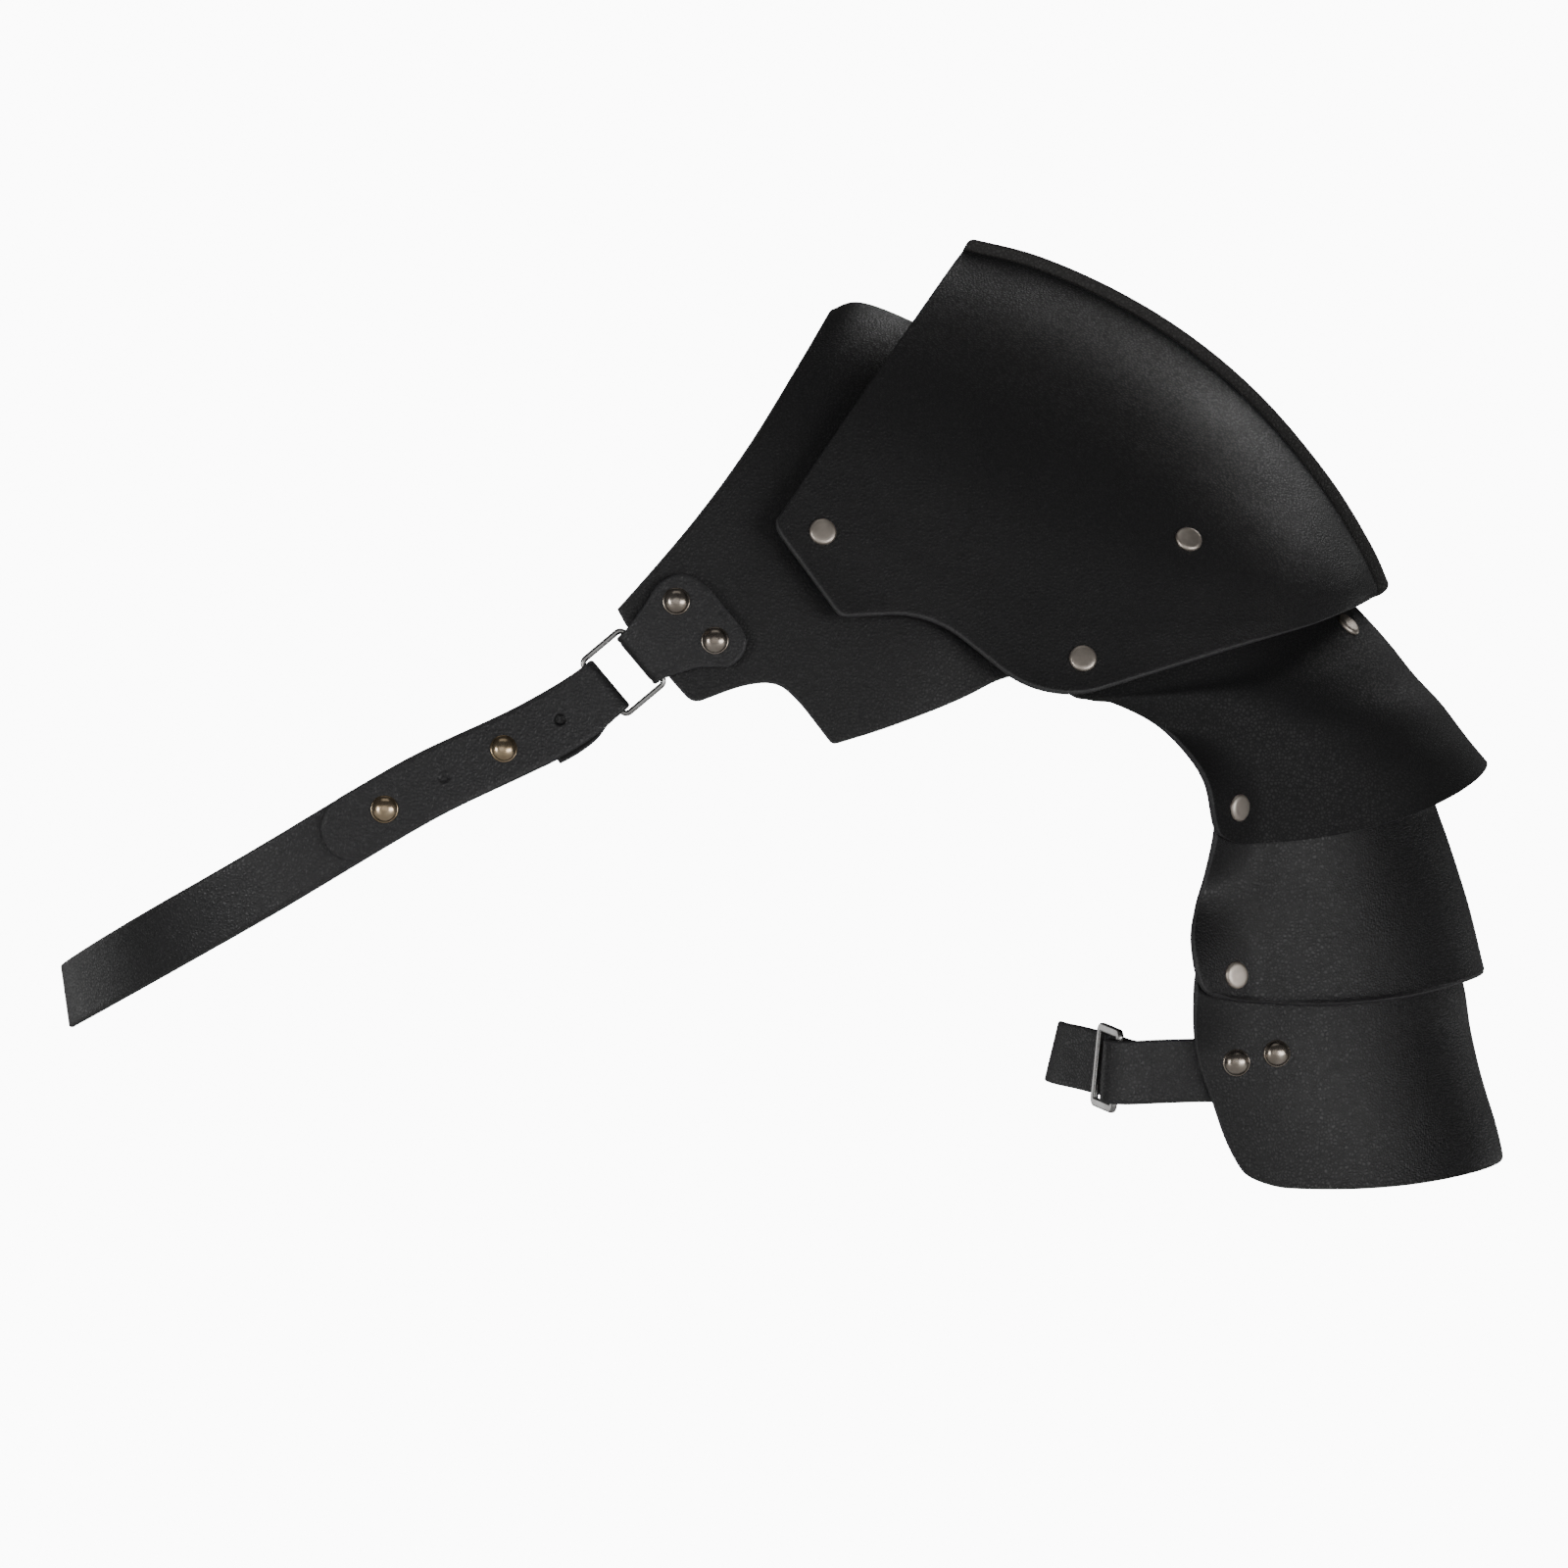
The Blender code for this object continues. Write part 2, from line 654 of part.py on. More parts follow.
def halves(grid):
    # the front and the rear half of a saddle-shaped piece, a small gap apart along its crest
    middle = grid.shape[1] // 2
    front_half = grid[:, :middle + 1].copy()
    rear_half = grid[:, middle:].copy()
    front_half[:, -1, 1] -= GAP
    rear_half[:, 0, 1] += GAP
    return front_half, rear_half


def welt_grid(surface, stations):
    # the flat strip that stands in the middle plane along the ridge, rounded at both ends
    ends = np.array((0.0, 0.004, 0.014, 0.03))
    v = np.concatenate((ends, np.linspace(0.06, 0.94, stations), 1.0 - ends[::-1]))
    top, _, _ = surface.ribs(v)
    along = np.gradient(top, axis=0)
    along /= np.linalg.norm(along, axis=1)[:, None]
    outward = np.stack((-along[:, 1], along[:, 0]), axis=1)
    end_round = np.array((0.45, 0.75, 0.94, 1.0))
    shape = np.concatenate((end_round, np.ones(stations), end_round[::-1]))
    flat = np.stack([top + outward * (WELT_STAND * shape)[:, None], top,
                     top - outward * (WELT_TUCK * shape)[:, None]], axis=1)
    return np.stack((flat[:, :, 0], np.zeros(flat.shape[:2]), flat[:, :, 1]), axis=2)


class StrapRoute:
    """A strap's base line with, at each length along it, its place, its outer side and its width's direction."""

    def __init__(self, points, widths):
        points = np.array(points)
        knots = np.concatenate(([0.0], np.cumsum(np.linalg.norm(np.diff(points, axis=0), axis=1))))
        fine = np.linspace(0.0, knots[-1], 400)
        self.places = smooth_curve(knots, points, fine)
        steps = np.linalg.norm(np.diff(self.places, axis=0), axis=1)
        self.lengths = np.concatenate(([0.0], np.cumsum(steps)))
        self.widths = smooth_curve(knots, np.array(widths), fine)
        self.length = self.lengths[-1]

    def at(self, distance):
        inside = np.clip(distance, 0.0, self.length)
        place = np.array([np.interp(inside, self.lengths, self.places[:, k]) for k in range(3)])
        ahead = min(self.length, inside + 0.0005)
        behind = max(0.0, inside - 0.0005)
        tangent = np.array([np.interp(ahead, self.lengths, self.places[:, k])
                            - np.interp(behind, self.lengths, self.places[:, k]) for k in range(3)])
        tangent /= np.linalg.norm(tangent)
        width = np.array([np.interp(inside, self.lengths, self.widths[:, k]) for k in range(3)])
        width /= np.linalg.norm(width)
        outer = np.cross(tangent, width)
        outer /= np.linalg.norm(outer)
        return place + tangent * (distance - inside), tangent, width, outer


def strap_grid(route, stations, columns=2):
    # stations hold: length along the route, offset outwards, shift and half width along the width
    rows = []
    for along, outwards, shift, half in stations:
        place, _, width, outer = route.at(along)
        centre = place + outer * outwards + width * shift
        rows.append([centre + width * half * t for t in np.linspace(-1.0, 1.0, columns)])
    return np.array(rows)


def fold_stations(bar_at, radius, steps, shift, half, direction):
    # half a turn round a bar, from the inner side to the outer one
    rows = []
    for k in range(steps + 1):
        turn = math.pi * k / steps
        rows.append((bar_at + direction * radius * math.sin(turn), -radius * math.cos(turn), shift, half))
    return rows


def wire_ring(name, centre, long_side, short_side, length, pitch, wire, corner, material, flat_wall=None):
    # a closed rounded rectangle of round wire, or of flat bar when flat_wall is given
    long_half, short_half = length / 2, pitch / 2
    path = []
    for quarter, (a, b) in enumerate(((1, 1), (-1, 1), (-1, -1), (1, -1))):
        for k in range(3):
            turn = math.radians(90 * quarter + 45 * k)
            path.append((a * (long_half - corner) + corner * math.cos(turn),
                         b * (short_half - corner) + corner * math.sin(turn), turn))
    up = np.cross(long_side, short_side)
    sides = 6 if flat_wall is None else 4
    points, faces = [], []
    for a, b, turn in path:
        spine = centre + long_side * a + short_side * b
        radial = long_side * math.cos(turn) + short_side * math.sin(turn)
        for k in range(sides):
            if flat_wall is None:
                angle = 2 * math.pi * (k + 0.5) / sides
                points.append(spine + (radial * math.cos(angle) + up * math.sin(angle)) * wire / 2)
            else:
                across, over = ((1, 1), (-1, 1), (-1, -1), (1, -1))[k]
                points.append(spine + radial * across * wire / 2 + up * over * flat_wall / 2)
    count = len(path)
    for i in range(count):
        j = (i + 1) % count
        for k in range(sides):
            m = (k + 1) % sides
            faces.append((i * sides + k, j * sides + k, j * sides + m, i * sides + m))
    return add_mesh(name, points, faces, material)


def unit(vector):
    vector = np.asarray(vector, dtype=float)
    return vector / np.linalg.norm(vector)


def local_surface(sheet, centre, reach):
    # a second-order fit of the sheet's front half round a place of the front view
    flat = sheet.grid.reshape(-1, 3)
    near = flat[(flat[:, 1] < 0) & (np.hypot(flat[:, 0] - centre[0], flat[:, 2] - centre[1]) < reach)]
    u, w = near[:, 0] - centre[0], near[:, 2] - centre[1]
    terms = np.stack((np.ones(len(u)), u, w, u * u, u * w, w * w), axis=1)
    weights = np.linalg.lstsq(terms, near[:, 1], rcond=None)[0]

    def depth_at(x, z):
        u, w = x - centre[0], z - centre[1]
        return (weights[0] + weights[1] * u + weights[2] * w + weights[3] * u * u + weights[4] * u * w
                + weights[5] * w * w)

    return depth_at


def build_part():
    clear_scene()
    plate_leather = make_material("plate_leather", (0.012, 0.012, 0.013), 0.48, 0.0)
    strap_leather = make_material("strap_leather", (0.016, 0.016, 0.017), 0.52, 0.0)
    plate_metal = make_material("plate_rivet_metal", (0.46, 0.40, 0.36), 0.30, 1.0)
    dome_metal = make_material("strap_rivet_metal", (0.38, 0.31, 0.24), 0.18, 1.0)
    ring_metal = make_material("ring_metal", (0.62, 0.62, 0.63), 0.16, 1.0)

    # Plates
    under = RibSurface(UNDER_RIBS, UNDER_SPAN, UNDER_FALL, UNDER_DEPTH, CREST_INWARD, CREST_RISE,
                       round_section, 0.0, NECK_BOW)
    v, s = edge_shares(under, UNDER_EDGE, UNDER_SPAN, UNDER_FALL, CREST_INWARD, CREST_RISE, UNDER_STEP)
    under_grid = rib_grid(under, v, s, UNDER_STEPS, True)

    top_depth = WELT_WALL / 2 + GAP + PLATE_WALL / 4
    main = RibSurface(MAIN_RIBS, RIDGE_SPAN, RIDGE_FALL, MAIN_DEPTH - top_depth, RIDGE_INWARD, RIDGE_RISE,
                      main_section, top_depth, 0.0)
    v, s = edge_shares(main, MAIN_EDGE, RIDGE_SPAN, RIDGE_FALL, RIDGE_INWARD, RIDGE_RISE, MAIN_STEP)
    main_front = Sheet("main_plate_front", rib_grid(main, v, s, MAIN_STEPS, False), PLATE_WALL, plate_leather)
    main_back = Sheet("main_plate_back", mirror_grid(main_front.grid), PLATE_WALL, plate_leather)
    Sheet("ridge_welt", welt_grid(main, 14), WELT_WALL, plate_leather)

    # Lames, each tucked under the piece above it, and the under plate beneath them all
    layer = PLATE_WALL + LAYER_GAP
    grid = evened(tuck_under(lame_grid(UPPER_LAME, 8, 10), [main_front, main_back], layer))
    upper = Sheet("upper_lame", grid, PLATE_WALL, plate_leather)
    grid = evened(tuck_under(lame_grid(MIDDLE_LAME, 7, 10), [upper], layer))
    middle = Sheet("middle_lame", grid, PLATE_WALL, plate_leather)
    grid = evened(tuck_under(lame_grid(LOWER_LAME, 8, 10), [middle], layer))
    lower = Sheet("lower_lame", grid, PLATE_WALL, plate_leather)
    grid = evened(tuck_under(under_grid, [main_front, main_back, upper], layer))
    front_half, rear_half = halves(grid)
    under_front = Sheet("under_plate_front", front_half, PLATE_WALL, plate_leather)
    under_rear = Sheet("under_plate_rear", rear_half, PLATE_WALL, plate_leather)

    # Straps, rings and buckle
    front_tab, rear_tab, ring_frames = add_tabs_and_rings(under_front, strap_leather, ring_metal)
    tongue, chest = add_chest_strap(ring_frames, strap_leather)
    arm_front, arm_rear = add_arm_strap(lower, strap_leather, ring_metal)

    # Rivets
    for side, front in (("front", True), ("rear", False)):
        main_panel = main_front if front else main_back
        tab = front_tab if front else rear_tab
        under_half = under_front if front else under_rear
        arm = arm_front if front else arm_rear
        for label, place, layers, domed in (
                ("chest_rivet", main_place(RIVET_CHEST), (main_panel, under_half), False),
                ("outer_rivet", main_place(RIVET_OUTER), (main_panel, under_half), False),
                ("lobe_rivet", main_place(RIVET_LOBE), (main_panel, upper, under_half), False),
                ("side_rivet", lame_place(RIVET_SIDE), (upper, under_half), False),
                ("upper_lame_rivet", lame_place(RIVET_UPPER), (upper, middle), False),
                ("middle_lame_rivet", lame_place(RIVET_MIDDLE), (middle, lower), False),
                ("tab_rivet_upper", tab_place(RIVET_TAB_UPPER), (tab, under_half, tab), True),
                ("tab_rivet_lower", tab_place(RIVET_TAB_LOWER), (tab, under_half, tab), True),
                ("arm_strap_rivet_inner", lame_place(RIVET_ARM_INNER), (lower, arm), True),
                ("arm_strap_rivet_outer", lame_place(RIVET_ARM_OUTER), (lower, arm), True)):
            metal = dome_metal if domed else plate_metal
            add_rivet(label + "_" + side, place, front, layers, domed, metal)
    add_strap_studs(tongue, chest, dome_metal)

    for sheet in (under_front, under_rear, main_front, main_back, upper, middle, lower, front_tab, rear_tab, tongue, chest,
                  arm_front, arm_rear):
        sheet.cut_holes()


def add_tabs_and_rings(under_front, leather, metal):
    # a tab folded round the ring's bar, one leg over the plate and one under it, at the front and the rear
    bar, along, up = tab_frame()
    depth_at = local_surface(under_front, (bar[0] + TAB_LENGTH / 2, bar[1] + TAB_LENGTH / 4), TAB_LENGTH)
    leg_offset = (PLATE_WALL + STRAP_WALL) / 2 + TAB_GAP
    radius = RING_WIRE / 2 + GAP + STRAP_WALL / 2

    def tab_point(distance, side, offset):
        flat = bar + along * distance + up * side
        step = 1e-4
        slope_x = (depth_at(flat[0] + step, flat[1]) - depth_at(flat[0] - step, flat[1])) / (2 * step)
        slope_z = (depth_at(flat[0], flat[1] + step) - depth_at(flat[0], flat[1] - step)) / (2 * step)
        normal = unit((slope_x, -1.0, slope_z))
        return np.array((flat[0], depth_at(*flat), flat[1])) + normal * offset

    rows = []
    table = np.array(TAB_OUTLINE)
    for direction in (-1, 1):
        leg = table[::-1] if direction < 0 else table
        for share, above, below in leg[(0 if direction < 0 else 1):]:
            blend = min(1.0, share / 0.2)
            offset = direction * (radius * (1 - blend) + leg_offset * blend)
            if share == 0.0:
                for k in range(7):
                    turn = math.pi * k / 6
                    rows.append([tab_point(-radius * math.sin(turn), w * RING_STRAP_WIDTH / 2, -radius * math.cos(turn))
                                 for w in (-1.0, 0.0, 1.0)])
                continue
            sides = (-below * STRAP_WIDTH, 0.0, above * STRAP_WIDTH)
            rows.append([tab_point(share * TAB_LENGTH, w, offset) for w in sides])
    grid = np.array(rows)
    front_tab = Sheet("ring_tab_front", grid, STRAP_WALL, leather)
    rear_tab = Sheet("ring_tab_rear", mirror_grid(grid), STRAP_WALL, leather)

    toward_strap = np.array((-math.cos(RING_SLOPE), 0.0, -math.sin(RING_SLOPE)))
    long_side = np.array((up[0], 0.0, up[1]))
    frames = []
    for label, side in (("front", 1.0), ("rear", -1.0)):
        tab_bar = np.array((bar[0], side * depth_at(*bar), bar[1]))
        centre = tab_bar + toward_strap * RING_PITCH / 2
        wire_ring("strap_ring_" + label, centre, long_side, toward_strap, RING_INSIDE + RING_WIRE, RING_PITCH,
                  RING_WIRE, RING_CORNER, metal)
        frames.append(tab_bar + toward_strap * RING_PITCH)
    return front_tab, rear_tab, frames


def add_chest_strap(bars, leather):
    # the long strap goes round the torso; its front end lies under a tongue that is folded on the front ring
    rows = [(-out * TORSO_REACH, -forward * TORSO_DEPTH, -down * TORSO_DROP)
            for out, down, forward, _ in TORSO_PATH]
    leans = [(lean, 0.0, -math.sqrt(1.0 - lean * lean)) for _, _, _, lean in TORSO_PATH]
    bar_lean = (math.sin(RING_SLOPE), 0.0, -math.cos(RING_SLOPE))
    lead = np.array((-math.cos(RING_SLOPE), 0.0, -math.sin(RING_SLOPE))) * RING_LEAD
    front = [tuple(bars[0]), tuple(bars[0] + lead)] + rows
    rear = [tuple(mirrored(np.array(p))) for p in front[:-1]][::-1]
    widths = [bar_lean, bar_lean] + leans
    route = StrapRoute(front + rear, widths + widths[:-1][::-1])
    half = STRAP_WIDTH / 2
    radius = RING_WIRE / 2 + GAP + STRAP_WALL / 2
    layer = STRAP_WALL + GAP

    folded = RING_STRAP_WIDTH / 2
    stations = [(TONGUE_BACK, 0.0, TONGUE_SHIFT, half), (TONGUE_BACK * 0.75, -radius * 0.15, TONGUE_SHIFT, half),
                (TONGUE_BACK * 0.45, -radius * 0.55, TONGUE_SHIFT * 0.6, half),
                (TONGUE_BACK * 0.18, -radius * 0.95, 0.0, folded)]
    stations += fold_stations(0.0, radius, 6, 0.0, folded, -1.0)
    body = TONGUE_LENGTH - half
    for share in np.linspace(0.06, 1.0, 14):
        outwards = radius + (layer - radius) * min(1.0, share * 3)
        stations.append((body * share, outwards, 0.0, folded + (half - folded) * min(1.0, share * 6)))
    for turn in (25, 45, 62, 76, 86):
        angle = math.radians(turn)
        stations.append((body + half * math.sin(angle), layer, 0.0, half * math.cos(angle)))
    tongue = Sheet("chest_strap_tongue", strap_grid(route, stations), STRAP_WALL, leather)

    end = route.length
    stations = [(STRAP_START, 0.0, 0.0, half)]
    for place in np.linspace(STRAP_START + 0.010, end - REAR_FOLD - 0.006, 36):
        stations.append((place, 0.0, 0.0, half))
    stations += [(end - REAR_FOLD * 0.5, radius * 0.5, 0.0, half), (end - REAR_FOLD * 0.15, radius * 0.95, 0.0, folded)]
    fold = fold_stations(end, radius, 6, 0.0, folded, 1.0)
    stations += fold[::-1]
    stations += [(end - REAR_FOLD * 0.2, -radius, 0.0, folded), (end - REAR_FOLD * 0.6, -radius, 0.0, half),
                 (end - REAR_FOLD, -layer, 0.0, half)]
    chest = Sheet("chest_strap", strap_grid(route, stations), STRAP_WALL, leather)
    chest.route = route
    return tongue, chest


def add_strap_studs(tongue, chest, metal):
    # holes along the tongue at one pitch: open, stud, open, stud; one more stud holds the rear fold
    route = chest.route
    layer = STRAP_WALL + GAP
    for step in range(4):
        place, _, _, outer = route.at(FIRST_HOLE + HOLE_PITCH * step)
        centre = place + outer * layer
        if step % 2 == 0:
            tongue.holes.append((centre, outer, HOLE_RADIUS, 0.006))
        else:
            seat_rivet("chest_strap_stud_%d" % (step // 2 + 1), centre, outer, (tongue, chest), True, metal)
    place, _, _, outer = route.at(route.length - REAR_FOLD * 0.7)
    seat_rivet("chest_strap_stud_rear", place, outer, (chest,), True, metal)


def add_arm_strap(lower, leather, metal):
    # both straps share one route: along the lower lame's inner face, round the inner arm, back to the rear
    inward = PLATE_WALL / 2 + GAP * 2 + STRAP_WALL / 2
    edge = LOWER_LAME[4][0] * LAME_REACH + 0.001
    points = []
    for x in (edge + ARM_STRAP_TUCK, edge + ARM_STRAP_TUCK * 0.6, edge + ARM_STRAP_TUCK * 0.28, edge):
        hit, normal = lower.meet((x, -2.0 * TORSO_DEPTH, -ARM_STRAP_LEVEL), (0.0, 1.0, 0.0))
        points.append(np.array(hit) - np.array(normal) * inward)
    for point in points:
        point[2] = -ARM_STRAP_LEVEL
    leans = [0.0] * len(points)
    for out, forward, rise, lean in ARM_PATH:
        points.append(np.array((out * LAME_REACH, -forward * LAME_DEPTH, rise * ARM_STRAP_RISE - ARM_STRAP_LEVEL)))
        leans.append(lean)
    rear = [mirrored(p) for p in points[:-1]][::-1]
    whole = np.array(points + rear)
    tangents = [unit(step) for step in np.gradient(whole, axis=0)]
    widths = []
    for lean, tangent in zip(leans + leans[:-1][::-1], tangents):
        leaning = np.array((-lean, 0.0, -1.0))
        widths.append(unit(leaning - tangent * np.dot(leaning, tangent)))
    route = StrapRoute(whole, widths)
    half = ARM_STRAP_WIDTH / 2
    bar_one = BUCKLE_PLACE
    bar_two = BUCKLE_PLACE + BUCKLE_PITCH
    radius = math.hypot(BUCKLE_BAR, BUCKLE_WALL) / 2 + 2 * GAP + STRAP_WALL / 2
    lift = BUCKLE_WALL / 2 + GAP + STRAP_WALL / 2 + GAP
    sink = lift - radius - STRAP_WALL - 2 * GAP

    stations = [(0.0, 0.0, 0.0, half)]
    outer_start = ARM_STRAP_TUCK
    for share in np.linspace(0.15, 1.0, 5):
        stations.append((outer_start * share, 0.0, 0.0, half))
    for share in (0.35, 0.7, 0.92):
        place = outer_start + (bar_one - outer_start) * share
        stations.append((place, (lift + radius) * share ** 1.5, 0.0, half))
    fold = [(along, lift + outwards, shift, wide)
            for along, outwards, shift, wide in fold_stations(bar_one, radius, 6, 0.0, half, 1.0)]
    stations += fold[::-1]
    stations += [(bar_one - ARM_FOLD_LENGTH * 0.4, lift - radius, 0.0, half),
                 (bar_one - ARM_FOLD_LENGTH * 0.85, lift - radius - 0.0002, 0.0, half)]
    behind = (PLATE_WALL + STRAP_WALL) / 2 + LAYER_GAP
    front = Sheet("arm_strap_front", tuck_under(strap_grid(route, stations), [lower], behind), STRAP_WALL, leather)

    end = route.length
    stations = [(bar_one - ARM_FOLD_LENGTH * 0.5, sink, 0.0, half), (bar_one, sink, 0.0, half),
                (bar_one + BUCKLE_PITCH * 0.5, sink * 0.6, 0.0, half), (bar_two, -GAP, 0.0, half)]
    for place in np.linspace(bar_two + 0.005, end - outer_start, 16):
        stations.append((place, 0.0, 0.0, half))
    for share in np.linspace(0.8, 0.0, 5):
        stations.append((end - outer_start * share, 0.0, 0.0, half))
    rear_strap = Sheet("arm_strap_rear", tuck_under(strap_grid(route, stations), [lower], behind), STRAP_WALL,
                       leather)

    place_one, _, width, outer_one = route.at(bar_one)
    place_two, _, _, outer_two = route.at(bar_two)
    one = place_one + outer_one * lift
    two = place_two + outer_two * lift
    chord = unit(two - one)
    long_side = -unit(width - chord * np.dot(width, chord))
    wire_ring("arm_strap_buckle", (one + two) / 2, long_side, chord, BUCKLE_INSIDE + BUCKLE_BAR,
              float(np.linalg.norm(two - one)), BUCKLE_BAR, BUCKLE_BAR / 2, metal, flat_wall=BUCKLE_WALL)
    return front, rear_strap


build_part()
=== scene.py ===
# Leather shoulder guard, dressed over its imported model.
# Metres, +Z up, the wearer's front faces -Y, +X goes outwards over the arm, and the origin is the shoulder seat.
import math

import bpy
import numpy as np
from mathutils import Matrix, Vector


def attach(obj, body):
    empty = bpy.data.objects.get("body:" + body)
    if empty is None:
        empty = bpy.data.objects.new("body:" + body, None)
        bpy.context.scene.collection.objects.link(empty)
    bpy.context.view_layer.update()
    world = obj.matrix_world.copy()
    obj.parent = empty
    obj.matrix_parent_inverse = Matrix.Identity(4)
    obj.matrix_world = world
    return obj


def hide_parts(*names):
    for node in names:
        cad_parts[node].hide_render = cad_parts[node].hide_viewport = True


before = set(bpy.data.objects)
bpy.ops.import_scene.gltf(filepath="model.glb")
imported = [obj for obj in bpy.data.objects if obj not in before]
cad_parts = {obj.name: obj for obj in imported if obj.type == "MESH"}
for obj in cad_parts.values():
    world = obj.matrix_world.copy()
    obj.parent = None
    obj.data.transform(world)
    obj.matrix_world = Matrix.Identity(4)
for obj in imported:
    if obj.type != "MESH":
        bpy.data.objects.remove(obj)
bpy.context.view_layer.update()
print("frame loaded, %d nodes" % len(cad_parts))

# values that several pieces share
leather = {"plateWall": 0.0018, "strapWall": 0.0020, "gap": 0.0003, "layerGap": 0.0006, "tabGap": 0.0010,
           "edgeRound": 0.00085, "edgeMark": 1.25}
tuck = {"near": 0.0025, "fade": 0.018, "ease": 0.003, "spread": 10, "blurs": 45}
curl = {"sideFade": 0.010, "start": 0.002}
rear = {"spread": 0.667, "inward": 0.0725, "down": 0.1189}


# curves and grids

def smoothCurve(knots, values, places):
    # a cubic through every row; the slope at a row comes from its two neighbours
    knots = np.asarray(knots, float)
    values = np.asarray(values, float)
    slopes = np.gradient(values, knots, axis=0)
    left = np.clip(np.searchsorted(knots, places, side="right") - 1, 0, len(knots) - 2)
    step = (knots[left + 1] - knots[left])[:, None]
    t = (places - knots[left])[:, None] / step
    return (values[left] * (1 + 2 * t) * (1 - t) ** 2 + slopes[left] * step * t * (1 - t) ** 2
            + values[left + 1] * t * t * (3 - 2 * t) + slopes[left + 1] * step * t * t * (t - 1))


def edgeSpaced(count, length):
    # shares from 0 to 1: even in the middle, and close together within the rounded edge at both ends
    near = leather["edgeRound"] * np.array((0.0, 0.07, 0.25, 0.55, 1.0)) / length
    return np.concatenate((near, np.linspace(near[-1] * 2.2, 1 - near[-1] * 2.2, count), 1 - near[::-1]))


def roundedOutline(rows, cornerSteps=9):
    # the polyline's corners are cut back by their radius and each is rounded with a parabola
    rows = np.array(rows, float)
    here, before, after = rows[1:-1, :2], rows[:-2, :2], rows[2:, :2]
    radius = rows[1:-1, 2:3]
    toBefore, toAfter = before - here, after - here
    start = here + toBefore * np.minimum(0.48, radius / np.linalg.norm(toBefore, axis=1)[:, None])
    end = here + toAfter * np.minimum(0.48, radius / np.linalg.norm(toAfter, axis=1)[:, None])
    t = np.linspace(0, 1, cornerSteps)[None, :, None]
    arcs = (1 - t) ** 2 * start[:, None] + 2 * t * (1 - t) * here[:, None] + t * t * end[:, None]
    return np.concatenate((rows[:1, :2], arcs.reshape(-1, 2), rows[-1:, :2]))


def runLengths(points):
    # how far along the line each of its points lies
    return np.concatenate(([0], np.cumsum(np.linalg.norm(np.diff(points, axis=0), axis=1))))


def evenSteps(points, step):
    # the same line with points at one spacing
    lengths = runLengths(points)
    places = np.linspace(0, lengths[-1], int(lengths[-1] / step) + 1)
    return np.stack([np.interp(places, lengths, points[:, k]) for k in range(points.shape[1])], axis=1)


def mirrored(points):
    return points * np.array((1.0, -1.0, 1.0))


def normalsOf(grid):
    normal = np.cross(np.gradient(grid, axis=0), np.gradient(grid, axis=1))
    return normal / np.maximum(np.linalg.norm(normal, axis=2), 1e-12)[:, :, None]


def spreadRear(points):
    # behind the middle plane everything moves away from the piece's middle, in step with its depth
    points = np.array(points, float)
    share = 1 + rear["spread"] * np.maximum(0, points[:, 1])
    points[:, 0] = (points[:, 0] + rear["inward"]) * share - rear["inward"]
    points[:, 2] = (points[:, 2] + rear["down"]) * share - rear["down"]
    return points


# meshes

def addPiece(name, points, faces, material, stands, marks=None):
    mesh = bpy.data.meshes.new(name)
    mesh.from_pydata(spreadRear(points).tolist(), [], [f.tolist() for f in faces])
    for label, values in (marks or {}).items():
        mark = mesh.attributes.new(label, "FLOAT", "POINT")
        mark.data.foreach_set("value", np.asarray(values, np.float32).ravel())
    mesh.materials.append(material)
    mesh.validate()
    mesh.update()
    mesh.shade_smooth()
    item = bpy.data.objects.new(name, mesh)
    bpy.context.scene.collection.objects.link(item)
    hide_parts(*stands)
    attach(item, "root")


def gridFaces(index):
    return np.stack((index[:-1, :-1], index[1:, :-1], index[1:, 1:], index[:-1, 1:]), axis=2).reshape(-1, 4)


def rimDistance(grid):
    # how far every point of a sheet lies from its rim, measured along the sheet
    runs = []
    for axis in (0, 1):
        steps = np.linalg.norm(np.diff(grid, axis=axis), axis=2)
        run = np.cumsum(np.insert(steps, 0, 0.0, axis=axis), axis=axis)
        runs += [run, np.take(run, [-1], axis=axis) - run]
    return np.minimum.reduce(runs)


def leatherShell(grid, wall, dents=None):
    # outer and inner face stand half a wall off the middle surface, and meet at the rim on a rounded edge:
    # the half wall is wall/2 * sqrt(1 - (1 - near)^2), where near is the distance from the rim over the edge's radius
    near = np.clip(rimDistance(grid) / leather["edgeRound"], 0, 1)
    half = wall / 2 * np.sqrt(np.maximum(0, 1 - (1 - near) ** 2))
    normal = normalsOf(grid)
    dent = np.zeros(half.shape) if dents is None else dents
    outer = grid + normal * (half * (1 - dent))[:, :, None]
    inner = grid - normal * (half * (1 - dent))[:, :, None]
    rows, columns = half.shape
    index = np.arange(rows * columns).reshape(rows, columns)
    under = index.copy()
    under[1:-1, 1:-1] = rows * columns + np.arange((rows - 2) * (columns - 2)).reshape(rows - 2, columns - 2)
    points = np.concatenate((outer.reshape(-1, 3), inner[1:-1, 1:-1].reshape(-1, 3)))
    faces = np.concatenate((gridFaces(index), gridFaces(under)[:, ::-1]))

    def both(values):
        return np.concatenate((values.ravel(), values[1:-1, 1:-1].ravel()))

    cutEdge = np.clip(leather["edgeMark"] - near, 0, 1)
    inside = np.concatenate((np.zeros(rows * columns), np.ones((rows - 2) * (columns - 2))))
    return points, faces, {"cutEdge": both(cutEdge), "inside": inside, "hole": both(dent)}


